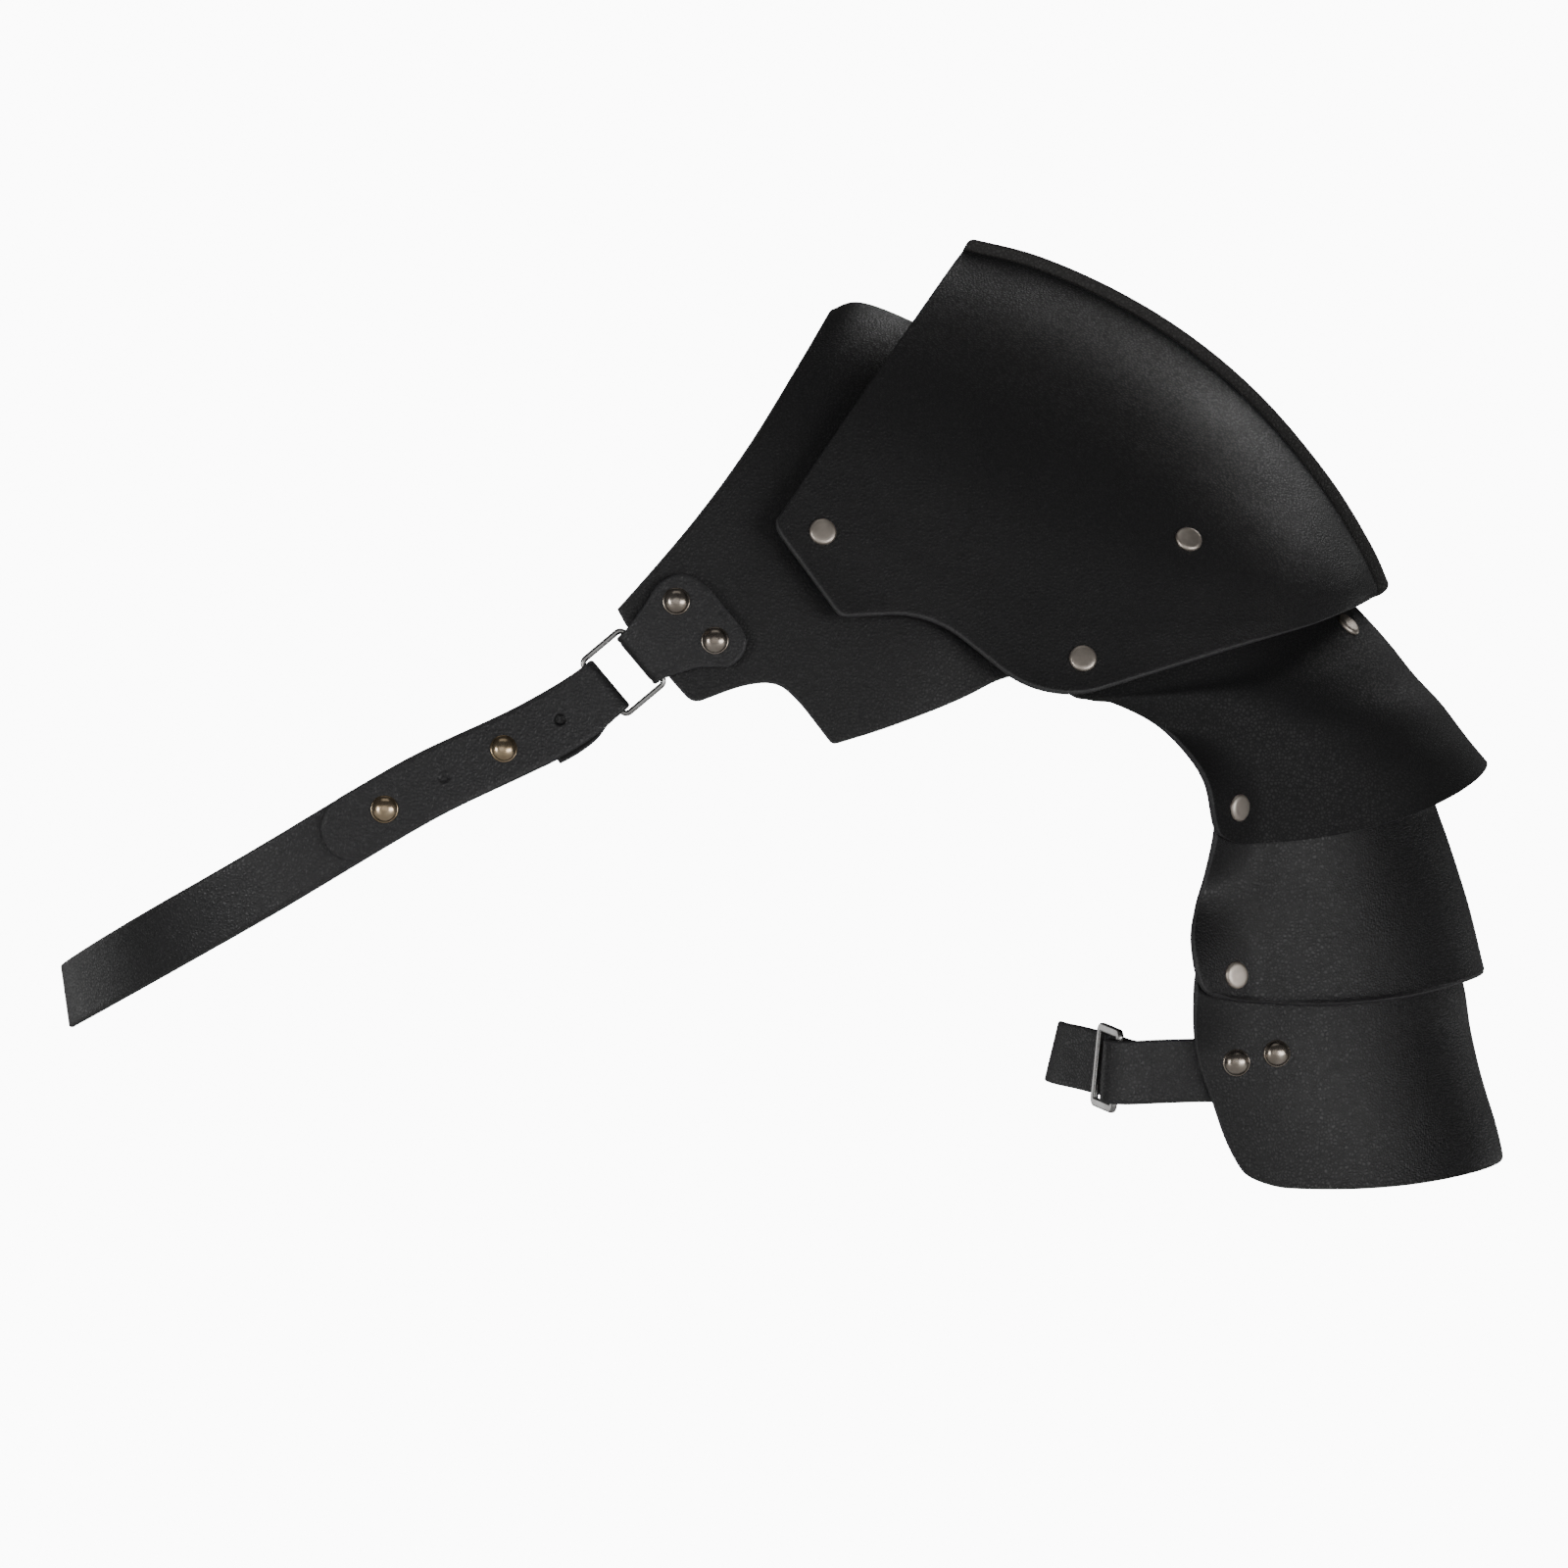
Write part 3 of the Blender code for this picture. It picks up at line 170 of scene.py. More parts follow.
def addSheet(name, kind, grid, finish, stands, dents=None):
    # kind is plate or strap, which says the wall
    points, faces, marks = leatherShell(grid, leather[kind + "Wall"], dents)
    addPiece(name, points, faces, finish, stands.split(), marks)


def turnedSolid(profile, centre, axis, sides=40):
    # a profile of heights and radii turned round an axis, closed at both poles
    axis = axis / np.linalg.norm(axis)
    helper = np.array((0.0, 0.0, 1.0)) if abs(axis[2]) < 0.9 else np.array((1.0, 0.0, 0.0))
    first = np.cross(helper, axis)
    first /= np.linalg.norm(first)
    second = np.cross(axis, first)
    turn = np.linspace(0, 2 * math.pi, sides, endpoint=False)
    rings = profile[1:-1]
    radial = first * np.cos(turn)[:, None] + second * np.sin(turn)[:, None]
    body = centre + axis * rings[:, None, 0:1] + radial[None] * rings[:, None, 1:2]
    points = np.concatenate(([centre + axis * profile[0, 0]], body.reshape(-1, 3),
                             [centre + axis * profile[-1, 0]]))
    index = 1 + np.arange(len(rings) * sides).reshape(len(rings), sides)
    wrapped = np.concatenate((index, index[:, :1]), axis=1)
    last = len(points) - 1
    top = np.stack((np.zeros(sides, int), wrapped[0, :-1], wrapped[0, 1:]), axis=1)
    bottom = np.stack((np.full(sides, last), wrapped[-1, 1:], wrapped[-1, :-1]), axis=1)
    return points, list(gridFaces(wrapped)) + list(top) + list(bottom)


def sweptRing(path, radialDirections, up, section):
    # a closed path with a closed section: section rows hold the reach outwards and upwards
    ring = path[:, None] + radialDirections[:, None] * section[None, :, 0:1] + up * section[None, :, 1:2]
    count, sides = len(path), len(section)
    index = np.arange(count * sides).reshape(count, sides)
    index = np.concatenate((index, index[:1]), axis=0)
    index = np.concatenate((index, index[:, :1]), axis=1)
    return ring.reshape(-1, 3), gridFaces(index)


# surfaces of straight ribs

def ribsAt(piece, v):
    table = np.array(piece["ribs"])
    ends = [np.stack((table[:, k] * piece["span"] - piece["inward"],
                      piece["rise"] - table[:, k + 1] * piece["fall"]), axis=1) for k in (0, 2)]
    rows = np.concatenate((*ends, table[:, 4:5] * piece["depth"]), axis=1)
    values = smoothCurve(np.linspace(0, 1, len(table)), rows, v)
    return values[:, 0:2], values[:, 2:4], values[:, 4]


def frontView(piece, v, s):
    # each rib is straight from its top to its foot, and bows sideways near the neck edge
    top, foot, _ = ribsAt(piece, v)
    along = foot - top
    across = np.stack((-along[:, 1], along[:, 0]), axis=1) / np.linalg.norm(along, axis=1)[:, None]
    bow = piece["bow"] * (1 - v) ** 2 * 4 * s * (1 - s)
    return top + along * s[:, None] + across * bow[:, None]


def ribPoints(piece, v, s):
    flat = frontView(piece, v, s)
    depth = piece["startDepth"] + ribsAt(piece, v)[2] * piece["section"](s)
    return np.stack((flat[:, 0], -depth, flat[:, 1]), axis=1)


def findShares(piece, places):
    # the rib and the share along it under each place of the front view: nearest of a cloud, then Newton steps
    fine = np.linspace(0, 1, 81)
    vv, ss = [a.ravel() for a in np.meshgrid(fine, fine * 1.1, indexing="ij")]
    cloud = frontView(piece, vv, ss)
    nearest = np.argmin(((cloud[None] - places[:, None]) ** 2).sum(2), axis=1)
    v, s = vv[nearest], ss[nearest]
    step = 1e-5
    for _ in range(12):
        here = frontView(piece, v, s)
        byV = (frontView(piece, v + step, s) - here) / step
        byS = (frontView(piece, v, s + step) - here) / step
        error = places - here
        det = byV[:, 0] * byS[:, 1] - byV[:, 1] * byS[:, 0]
        v = np.clip(v + (error[:, 0] * byS[:, 1] - error[:, 1] * byS[:, 0]) / det, 0, 1)
        s = np.clip(s + (byV[:, 0] * error[:, 1] - byV[:, 1] * error[:, 0]) / det, 0, 1.2)
    return v, s


def lowerEdge(piece, v):
    # the share along each rib at which the plate ends, read off its rounded outline
    rows = [(a * piece["span"] - piece["inward"], piece["rise"] - b * piece["fall"], c * piece["fall"])
            for a, b, c in piece["edge"]]
    places = evenSteps(roundedOutline(rows), 0.0006)
    edgeV, edgeS = findShares(piece, places)
    order = np.maximum.accumulate(edgeV)
    return np.interp(v, order + np.arange(len(order)) * 1e-9, edgeS)


def plateGrid(piece, rows, columns, bothSides):
    v = edgeSpaced(rows, piece["span"])
    ends = lowerEdge(piece, v)
    shares = edgeSpaced(columns, piece["fall"])
    if bothSides:
        s = 1 - np.cos(np.linspace(0, 1, columns)[None] * np.arccos(1 - np.minimum(ends, 0.999))[:, None])
        tail = ends[:, None] - leather["edgeRound"] * np.array((0.55, 0.25, 0.07, 0.0)) / piece["fall"]
        s = np.concatenate((s[:, :-1], (ends - leather["edgeRound"] / piece["fall"])[:, None], tail), axis=1)
    else:
        s = shares[None] ** 1.12 * ends[:, None]
    grid = ribPoints(piece, np.repeat(v, s.shape[1]), s.ravel()).reshape(len(v), s.shape[1], 3)[:, ::-1]
    if bothSides:
        grid = np.concatenate((grid, mirrored(grid)[:, -2::-1]), axis=1)
    return grid


def lameGrid(piece, levels, columns):
    # each level is half a ring of superellipse: front edge, round the outer side, rear edge
    table = np.array(piece["levels"])
    values = smoothCurve(np.linspace(0, 1, len(table)), table, edgeSpaced(levels, piece["height"]))
    turn = math.pi / 2 * np.concatenate((edgeSpaced(2 * columns, 0.2)[:columns + 5] * 2, [1.0]))
    turn = np.unique(np.clip(turn, 0, math.pi / 2))
    past = np.clip((edgeSpaced(levels, piece["height"]) - piece["cornerFrom"]) / (1 - piece["cornerFrom"]), 0, 1)
    start = piece["cornerCut"] * (1 - np.sqrt(1 - past ** 2))[:, None]
    turn = start * math.pi / 2 + turn[None] * (1 - start)
    out = np.sin(turn) ** (2 / piece["power"])
    forward = np.maximum(0, np.cos(turn)) ** (2 / piece["power"])
    frontOut, frontDown, tipOut, tipDown, depth, flare, sag = [values[:, k:k + 1] for k in range(7)]
    x = (frontOut + (tipOut - frontOut) * out) * piece["reach"]
    rise = 0.15 * out + 0.85 * (1 - forward ** piece["hemPower"])
    z = -(frontDown + (tipDown - frontDown) * rise + sag * 4 * out * (1 - out)) * piece["drop"]
    curl = np.maximum(0, 1 - out / piece["flareShare"]) ** 2
    y = -depth * piece["depth"] * forward - flare * piece["flare"] * curl
    half = np.stack((x, y, z), axis=2)
    return np.concatenate((half, mirrored(half)[:, -2::-1]), axis=1)


def blurred(field, times):
    # neighbours are averaged 1-2-1 along both directions of the grid
    for _ in range(times):
        for axis in (0, 1):
            f = np.moveaxis(field, axis, 0)
            padded = np.concatenate((f[:1], f, f[-1:]))
            field = np.moveaxis((padded[:-2] + 2 * padded[1:-1] + padded[2:]) / 4, 0, axis)
    return field


def widened(field, times):
    # every value takes the largest of its neighbours along both directions of the grid
    for _ in range(times):
        for axis in (0, 1):
            f = np.moveaxis(field, axis, 0)
            padded = np.concatenate((f[:1], f, f[-1:]))
            field = np.moveaxis(np.maximum(np.maximum(padded[:-2], padded[1:-1]), padded[2:]), 0, axis)
    return field


def nearestOf(points, samples):
    # the index of the nearest sample for each point, worked out block by block
    own = (samples ** 2).sum(1)
    return np.concatenate([np.argmin(own - 2 * block @ samples.T, axis=1)
                           for block in np.array_split(points, max(1, len(points) // 400))])


def tuckUnder(grid, covers, clearance):
    # points that lie too close under a covering sheet move inwards; the moves are widened and then blurred, so that
    # they still clear the sheet and no step shows
    moved = grid.reshape(-1, 3).copy()

    def push(points, cover, ease):
        samples, normals = cover[::2, ::2].reshape(-1, 3), normalsOf(cover)[::2, ::2].reshape(-1, 3)
        nearest = nearestOf(points, samples)
        offset = points - samples[nearest]
        height = (offset * normals[nearest]).sum(1)
        aside = np.linalg.norm(offset - normals[nearest] * height[:, None], axis=1)
        need = np.maximum(0, height + clearance)
        beyond = np.clip((aside - tuck["near"]) / tuck["fade"], 0, 1)
        fading = 1 - beyond * beyond * (3 - 2 * beyond)
        eased = np.minimum(need, tuck["ease"]) * fading * ease
        return points - normals[nearest] * np.where(aside < tuck["near"], need, eased)[:, None]

    for cover in covers * 2:
        moved = push(moved, cover, 1.0)
    shift = (moved - grid.reshape(-1, 3)).reshape(grid.shape)
    depth = blurred(widened(np.linalg.norm(shift, axis=2), tuck["spread"]), tuck["blurs"])
    way = blurred(shift, tuck["blurs"] * 3)
    inward = way / np.maximum(np.linalg.norm(way, axis=2), 1e-9)[:, :, None]
    moved = (grid + inward * depth[:, :, None]).reshape(-1, 3)
    for cover in covers:
        moved = push(moved, cover, 0.0)
    return moved.reshape(grid.shape)


def curled(grid, curls):
    # the free edge beside a rivet curls forwards: the slope is full from the edge to just past the rivet, fades out
    # within the reach, and fades above and below within the height
    moved = grid.copy()
    side = np.clip(-grid[:, :, 1] / curl["sideFade"], -1, 1)
    for place, slope, reach, height in curls:
        past = grid[:, :, 0] - place[0] - curl["start"]
        t = np.clip(past / reach, 0, 1)
        forward = reach * (0.5 - t + t ** 3 - t ** 4 / 2) + np.maximum(0, -past)
        level = np.clip((grid[:, :, 2] + place[1]) / height, -1, 1)
        moved[:, :, 1] -= side * slope * forward * (1 - level ** 2) ** 2
    return moved


def surfaceAt(grid, place, front):
    # the point of a sheet over a place of the front view, and its outward normal
    points, normals = grid.reshape(-1, 3), normalsOf(grid).reshape(-1, 3)
    side = -1.0 if front else 1.0
    away = np.hypot(points[:, 0] - place[0], points[:, 2] + place[1]) + 9.0 * (points[:, 1] * side < 0)
    k = np.argmin(away)
    point, normal = points[k], normals[k]
    dx, dz = place[0] - point[0], -place[1] - point[2]
    y = point[1] - (normal[0] * dx + normal[2] * dz) / normal[1] if abs(normal[1]) > 0.15 else point[1]
    return np.array((place[0], y, -place[1])), normal


def heightUnder(grid, centre, axis):
    # how far along an axis a sheet lies
    offset = grid.reshape(-1, 3) - centre
    height = offset @ axis
    aside = np.linalg.norm(offset - height[:, None] * axis, axis=1)
    return height[np.argmin(aside + 0.2 * np.abs(height))]


# materials

def newGroup(name, inputs, outputs):
    group = bpy.data.node_groups.new(name, "ShaderNodeTree")
    for label, kind, value in inputs:
        socket = group.interface.new_socket(label, in_out="INPUT", socket_type=kind)
        if value is not None:
            socket.default_value = value
    for label, kind in outputs:
        group.interface.new_socket(label, in_out="OUTPUT", socket_type=kind)
    return group, group.nodes.new("NodeGroupInput"), group.nodes.new("NodeGroupOutput")


def feed(tree, socket, value):
    # a socket takes a number, a colour or the output of another node
    if isinstance(value, (int, float)):
        socket.default_value = value
    elif isinstance(value, tuple):
        socket.default_value = (*value, 1.0)
    else:
        tree.links.new(value, socket)


def mathNode(tree, operation, a, b):
    node = tree.nodes.new("ShaderNodeMath")
    node.operation = operation
    for socket, value in zip(node.inputs, (a, b)):
        feed(tree, socket, value)
    return node.outputs[0]


def rampNode(tree, value, fromLow, fromHigh, toLow=0.0, toHigh=1.0):
    node = tree.nodes.new("ShaderNodeMapRange")
    node.interpolation_type = "SMOOTHSTEP"
    tree.links.new(value, node.inputs["Value"])
    for label, number in zip(("From Min", "From Max", "To Min", "To Max"), (fromLow, fromHigh, toLow, toHigh)):
        node.inputs[label].default_value = number
    return node.outputs["Result"]


def mixColour(tree, share, first, second):
    node = tree.nodes.new("ShaderNodeMix")
    node.data_type = "RGBA"
    # a colour mix keeps its factor in input 0, its two colours in 6 and 7, and its colour in output 2
    for number, value in ((0, share), (6, first), (7, second)):
        feed(tree, node.inputs[number], value)
    return node.outputs[2]


def noiseNode(tree, where, scale, detail, roughness=0.5):
    node = tree.nodes.new("ShaderNodeTexNoise")
    for label, value in (("Vector", where), ("Scale", scale), ("Detail", detail), ("Roughness", roughness)):
        feed(tree, node.inputs[label], value)
    return node


def addBump(tree, shader, height, strength, distance):
    bump = tree.nodes.new("ShaderNodeBump")
    for label, value in (("Strength", strength), ("Distance", distance), ("Height", height)):
        feed(tree, bump.inputs[label], value)
    tree.links.new(bump.outputs[0], shader.inputs["Normal"])


def makeGrainGroup():
    # pebbles: the distance to a cell's border on coordinates that a noise bends a little, flat on a pebble and low
    # in the narrow creases between; a finer set of cells and a slow swell are added
    group, given, result = newGroup("leatherGrain", (
        ("Where", "NodeSocketVector", None), ("Cells", "NodeSocketFloat", 900.0), ("Swell", "NodeSocketFloat", 0.25)),
        (("Height", "NodeSocketFloat"), ("Crease", "NodeSocketFloat"), ("Cloud", "NodeSocketFloat")))
    bend = noiseNode(group, given.outputs["Where"], 700.0, 2.0)
    moved = group.nodes.new("ShaderNodeVectorMath")
    moved.operation = "MULTIPLY_ADD"
    group.links.new(bend.outputs["Color"], moved.inputs[0])
    moved.inputs[1].default_value = (0.0006, 0.0006, 0.0006)
    group.links.new(given.outputs["Where"], moved.inputs[2])
    cells = []
    for factor in (1.0, 2.3):
        cell = group.nodes.new("ShaderNodeTexVoronoi")
        cell.feature = "DISTANCE_TO_EDGE"
        group.links.new(moved.outputs[0], cell.inputs["Vector"])
        group.links.new(mathNode(group, "MULTIPLY", given.outputs["Cells"], factor), cell.inputs["Scale"])
        cells.append(cell.outputs["Distance"])
    pebble = rampNode(group, cells[0], 0.0, 0.32)
    fine = rampNode(group, cells[1], 0.0, 0.35, 0.0, 0.35)
    cloud = noiseNode(group, given.outputs["Where"], 30.0, 2.0)
    swell = mathNode(group, "MULTIPLY", cloud.outputs["Fac"], given.outputs["Swell"])
    height = mathNode(group, "ADD", mathNode(group, "ADD", pebble, fine), swell)
    group.links.new(height, result.inputs["Height"])
    group.links.new(mathNode(group, "SUBTRACT", 1.0, pebble), result.inputs["Crease"])
    group.links.new(cloud.outputs["Fac"], result.inputs["Cloud"])
    return group


def makeEdgeGroup():
    # the cut edge: the piece's own edge mark, frayed by a noise
    group, given, result = newGroup("cutEdgeWear", (
        ("Where", "NodeSocketVector", None), ("Edge", "NodeSocketFloat", 0.0), ("Fray", "NodeSocketFloat", 0.3)),
        (("Mask", "NodeSocketFloat"), ("Fibre", "NodeSocketFloat")))
    frayed = noiseNode(group, given.outputs["Where"], 420.0, 4.0, 0.6)
    centred = mathNode(group, "SUBTRACT", frayed.outputs["Fac"], 0.5)
    spread = mathNode(group, "MULTIPLY", centred, given.outputs["Fray"])
    mask = rampNode(group, mathNode(group, "ADD", given.outputs["Edge"], spread), 0.28, 0.62)
    fibre = noiseNode(group, given.outputs["Where"], 1500.0, 2.0)
    group.links.new(mask, result.inputs["Mask"])
    group.links.new(fibre.outputs["Fac"], result.inputs["Fibre"])
    return group


def attributeNode(tree, label):
    node = tree.nodes.new("ShaderNodeAttribute")
    node.attribute_name = label
    return node.outputs["Fac"]


def newMaterial(name):
    material = bpy.data.materials.new(name)
    material.use_nodes = True
    tree = material.node_tree
    return material, tree, tree.nodes["Principled BSDF"], tree.nodes.new("ShaderNodeTexCoord").outputs["Object"]


def placeGroup(tree, group, where, values, links=()):
    node = tree.nodes.new("ShaderNodeGroup")
    node.node_tree = group
    tree.links.new(where, node.inputs["Where"])
    for label, value in values.items():
        node.inputs[label].default_value = value
    for label, output in links:
        tree.links.new(output, node.inputs[label])
    return node


def makeLeather(name, look):
    # near-black face with pebbles and painted shade in the grain's creases, a lighter cut edge, a matt flesh side and
    # painted shade filling the punched holes
    material, tree, shader, where = newMaterial(name)
    grain = placeGroup(tree, grainGroup, where, {"Cells": look["cells"], "Swell": look["swell"]})
    edge = placeGroup(tree, edgeGroup, where, {"Fray": look["fray"]}, [("Edge", attributeNode(tree, "cutEdge"))])
    inside = attributeNode(tree, "inside")
    hole = rampNode(tree, attributeNode(tree, "hole"), 0.25, 0.8)
    face = mixColour(tree, grain.outputs["Cloud"], look["dark"], look["light"])
    # painted shade: the face darkens towards a near-black colour where the grain's creases lie
    creaseShadeShare = mathNode(tree, "MULTIPLY", grain.outputs["Crease"], look["creaseShadeAmount"])
    face = mixColour(tree, creaseShadeShare, face, look["crease"])
    face = mixColour(tree, inside, face, look["flesh"])
    rimColour = mixColour(tree, edge.outputs["Fibre"], look["edgeDark"], look["edgeLight"])
    face = mixColour(tree, edge.outputs["Mask"], face, rimColour)
    # painted shade: inside the punched holes the colour goes to near-black, standing in for the dark of an open hole
    tree.links.new(mixColour(tree, hole, face, look["holeShade"]), shader.inputs["Base Color"])
    clouds = mathNode(tree, "SUBTRACT", grain.outputs["Cloud"], 0.5)
    rough = look["roughness"]
    for operation, mask, amount in (("ADD", grain.outputs["Crease"], look["creaseRough"]),
                                    ("ADD", clouds, look["cloudRough"]), ("MAXIMUM", inside, look["fleshRough"]),
                                    ("MAXIMUM", edge.outputs["Mask"], look["edgeRough"])):
        rough = mathNode(tree, operation, rough, mathNode(tree, "MULTIPLY", mask, amount))
    tree.links.new(rough, shader.inputs["Roughness"])
    shader.inputs["Specular IOR Level"].default_value = look["specular"]
    addBump(tree, shader, grain.outputs["Height"], look["bump"], look["relief"])
    return material


def makeMetal(name, look):
    # plated metal: a slow change of tint and polish, with fine rubbing marks
    material, tree, shader, where = newMaterial(name)
    cloud = noiseNode(tree, where, look["cloudScale"], 3.0)
    rub = noiseNode(tree, where, 2600.0, 2.0)
    tint = mixColour(tree, rampNode(tree, cloud.outputs["Fac"], 0.35, 0.65), look["dark"], look["light"])
    tree.links.new(tint, shader.inputs["Base Color"])
    shader.inputs["Metallic"].default_value = 1.0
    polish = mathNode(tree, "MULTIPLY", rub.outputs["Fac"], look["rubbing"])
    tree.links.new(mathNode(tree, "ADD", polish, look["roughness"]), shader.inputs["Roughness"])
    addBump(tree, shader, rub.outputs["Fac"], 0.25, 0.00004)
    return material


grainGroup = makeGrainGroup()
edgeGroup = makeEdgeGroup()
lameLook = {"cells": 950.0, "swell": 0.3, "fray": 0.25, "dark": (0.0085, 0.0085, 0.0089),
            "light": (0.0120, 0.0120, 0.0126), "crease": (0.003, 0.003, 0.0032), "flesh": (0.010, 0.010, 0.0105),
            "edgeDark": (0.018, 0.018, 0.019), "edgeLight": (0.060, 0.060, 0.062),
            "holeShade": (0.002, 0.002, 0.002), "specular": 0.5, "bump": 1.0, "relief": 0.00007, "creaseShadeAmount": 0.55,
            "roughness": 0.33, "creaseRough": 0.22, "cloudRough": 0.16, "fleshRough": 0.85, "edgeRough": 0.6}
plateLook = dict(lameLook, relief=0.000065, roughness=0.38)
underLook = dict(lameLook, roughness=0.38)
# painted shade: the upper lame gets a less shiny, rougher copy of the lame leather, so it stays dark as if shaded by
# the main plate
shadedLameLook = dict(lameLook, relief=0.00005, roughness=0.50, specular=0.30)
weltLook = dict(lameLook, roughness=0.62, dark=(0.0280, 0.0268, 0.0255), light=(0.0400, 0.0384, 0.0368),
                crease=(0.016, 0.015, 0.015))
strapLook = dict(lameLook, roughness=0.30, cells=900.0, dark=(0.0190, 0.0190, 0.0198),
                 light=(0.0270, 0.0270, 0.0282), crease=(0.011, 0.011, 0.0116))
plateLeather = makeLeather("plateLeather", plateLook)
lameLeather = makeLeather("lameLeather", lameLook)
shadedUpperLameLeather = makeLeather("upperLameShadedLeather", shadedLameLook)
underLeather = makeLeather("underPlateLeather", underLook)
weltLeather = makeLeather("weltLeather", weltLook)
strapLeather = makeLeather("strapLeather", strapLook)
capMetal = makeMetal("flatCapNickel", {"dark": (0.54, 0.48, 0.42), "light": (0.68, 0.61, 0.54), "cloudScale": 180.0,
                                       "rubbing": 0.10, "roughness": 0.38})
domeMetal = makeMetal("domedCapBronze", {"dark": (0.36, 0.31, 0.26), "light": (0.52, 0.46, 0.40), "cloudScale": 220.0,
                                         "rubbing": 0.06, "roughness": 0.22})
studMetal = makeMetal("domedStudBrass", {"dark": (0.50, 0.38, 0.24), "light": (0.68, 0.54, 0.37), "cloudScale": 220.0,
                                         "rubbing": 0.06, "roughness": 0.22})
wireMetal = makeMetal("wireNickel", {"dark": (0.40, 0.39, 0.38), "light": (0.54, 0.54, 0.53), "cloudScale": 150.0,
                                     "rubbing": 0.08, "roughness": 0.20})
print("materials made")


# main plate: two panels that meet under the welt

mainPlate = {
    "span": 0.1224, "fall": 0.1006, "depth": 0.08655, "inward": 0.0197, "rise": 0.0386, "bow": 0.0,
    "startDepth": 0.00245,
    "ribs": [  # ridge along the span, ridge down, foot along the span, foot down, depth
        (0.000, 0.000, -0.519, 0.935, 0.990), (0.175, 0.055, -0.302, 1.195, 1.008),
        (0.370, 0.161, -0.075, 1.355, 1.010), (0.550, 0.300, 0.172, 1.411, 1.010),
        (0.711, 0.473, 0.416, 1.360, 0.970), (0.860, 0.692, 0.656, 1.241, 0.830),
        (0.955, 0.879, 0.858, 1.124, 0.530), (0.995, 0.985, 0.987, 1.040, 0.140)],
    "edge": [  # along the span, down, corner radius
        (-0.430, 0.775, 0.000), (-0.459, 0.826, 0.040), (-0.300, 1.091, 0.018), (-0.090, 1.076, 0.130),
        (0.128, 1.289, 0.080), (0.255, 1.318, 0.075), (0.652, 1.168, 0.100), (0.826, 1.106, 0.060),
        (0.945, 1.045, 0.030), (0.985, 1.020, 0.000)],
    "sectionRows": [(0.00, 0.000), (0.12, 0.270), (0.28, 0.520), (0.50, 0.750), (0.72, 0.885), (0.88, 0.965),
                    (1.00, 1.040)],
}


def mainSection(s):
    # from the ridge to the foot the panel first runs forwards and then turns down
    table = np.array(mainPlate["sectionRows"])
    return smoothCurve(table[:, 0], table[:, 1:2], s)[:, 0]


mainPlate["section"] = mainSection
mainFront = plateGrid(mainPlate, 150, 90, False)
mainBack = mirrored(mainFront)[:, ::-1]
addSheet("mainPlateFront", "plate", mainFront, plateLeather, "main_plate_front")
addSheet("mainPlateBack", "plate", mainBack, plateLeather, "main_plate_back")
print("main plate made")


# ridge welt: the two panels' seam allowances stand side by side along the ridge

welt = {"stand": 0.0045, "tuck": 0.0030, "wall": 0.0044, "rows": 220, "overhang": 0.0030, "endRound": 0.0028,
        "endStand": 0.18, "endWidth": 0.80, "taper": 0.003, "markFrom": 0.80, "markGain": 3.0, "markMost": 0.5}


def weltSection(stand, under, wall):
    # a rounded bar with a groove along its outer edge, between the two layers
    half = wall / 2
    turn = np.linspace(0, math.pi, 9)
    layer = half / 2
    tops = [np.stack((side * layer + layer * np.cos(turn), stand - layer + layer * 0.9 * np.sin(turn)), axis=1)
            for side in (1, -1)]
    return np.concatenate((*tops, ((-half, -under), (half, -under))))


def weltShell():
    v = np.linspace(0, 1, welt["rows"])
    top, _, _ = ribsAt(mainPlate, v)
    lastWay = (top[-1] - top[-4]) / np.linalg.norm(top[-1] - top[-4])
    top = np.concatenate((top, top[-1] + lastWay * np.linspace(0, welt["overhang"], 7)[1:, None]))
    along = np.gradient(top, axis=0)
    along /= np.linalg.norm(along, axis=1)[:, None]
    outward = np.stack((-along[:, 1], along[:, 0]), axis=1)
    length = runLengths(top)
    fromEnd = np.minimum(length, length[-1] - length)
    rounded = np.sqrt(np.maximum(0, 1 - (1 - np.clip(fromEnd / welt["endRound"], 0, 1)) ** 2))
    shape = rounded * (1 - welt["endStand"]) + welt["endStand"]
    section = weltSection(welt["stand"], welt["tuck"], welt["wall"])
    across = section[None, :, 0] * np.clip(welt["endWidth"] + fromEnd / welt["taper"], 0, 1)[:, None]
    up = section[None, :, 1] * shape[:, None]
    points = np.stack((top[:, 0:1] + outward[:, 0:1] * up, across, top[:, 1:2] + outward[:, 1:2] * up), axis=2)
    rows, sides = up.shape
    index = np.arange(rows * sides).reshape(rows, sides)
    faces = gridFaces(np.concatenate((index, index[:, :1]), axis=1))
    height = (up / welt["stand"]).ravel()
    none = np.zeros(len(height))
    cutEdge = np.clip((height - welt["markFrom"]) * welt["markGain"], 0, welt["markMost"])
    return (points.reshape(-1, 3), [*faces, index[0], index[-1][::-1]],
            {"cutEdge": cutEdge, "inside": none, "hole": none})


points, faces, marks = weltShell()
addPiece("ridgeWelt", points, faces, weltLeather, ["ridge_welt"], marks)
print("welt made")


# three lames and the under plate, each tucked under the piece above it

lame = {"reach": 0.1392, "drop": 0.2357, "depth": 0.0680, "flare": 0.0040, "flareShare": 0.22, "power": 2.1,
        "hemPower": 1.5, "cornerFrom": 0.90, "cornerCut": 0.02}
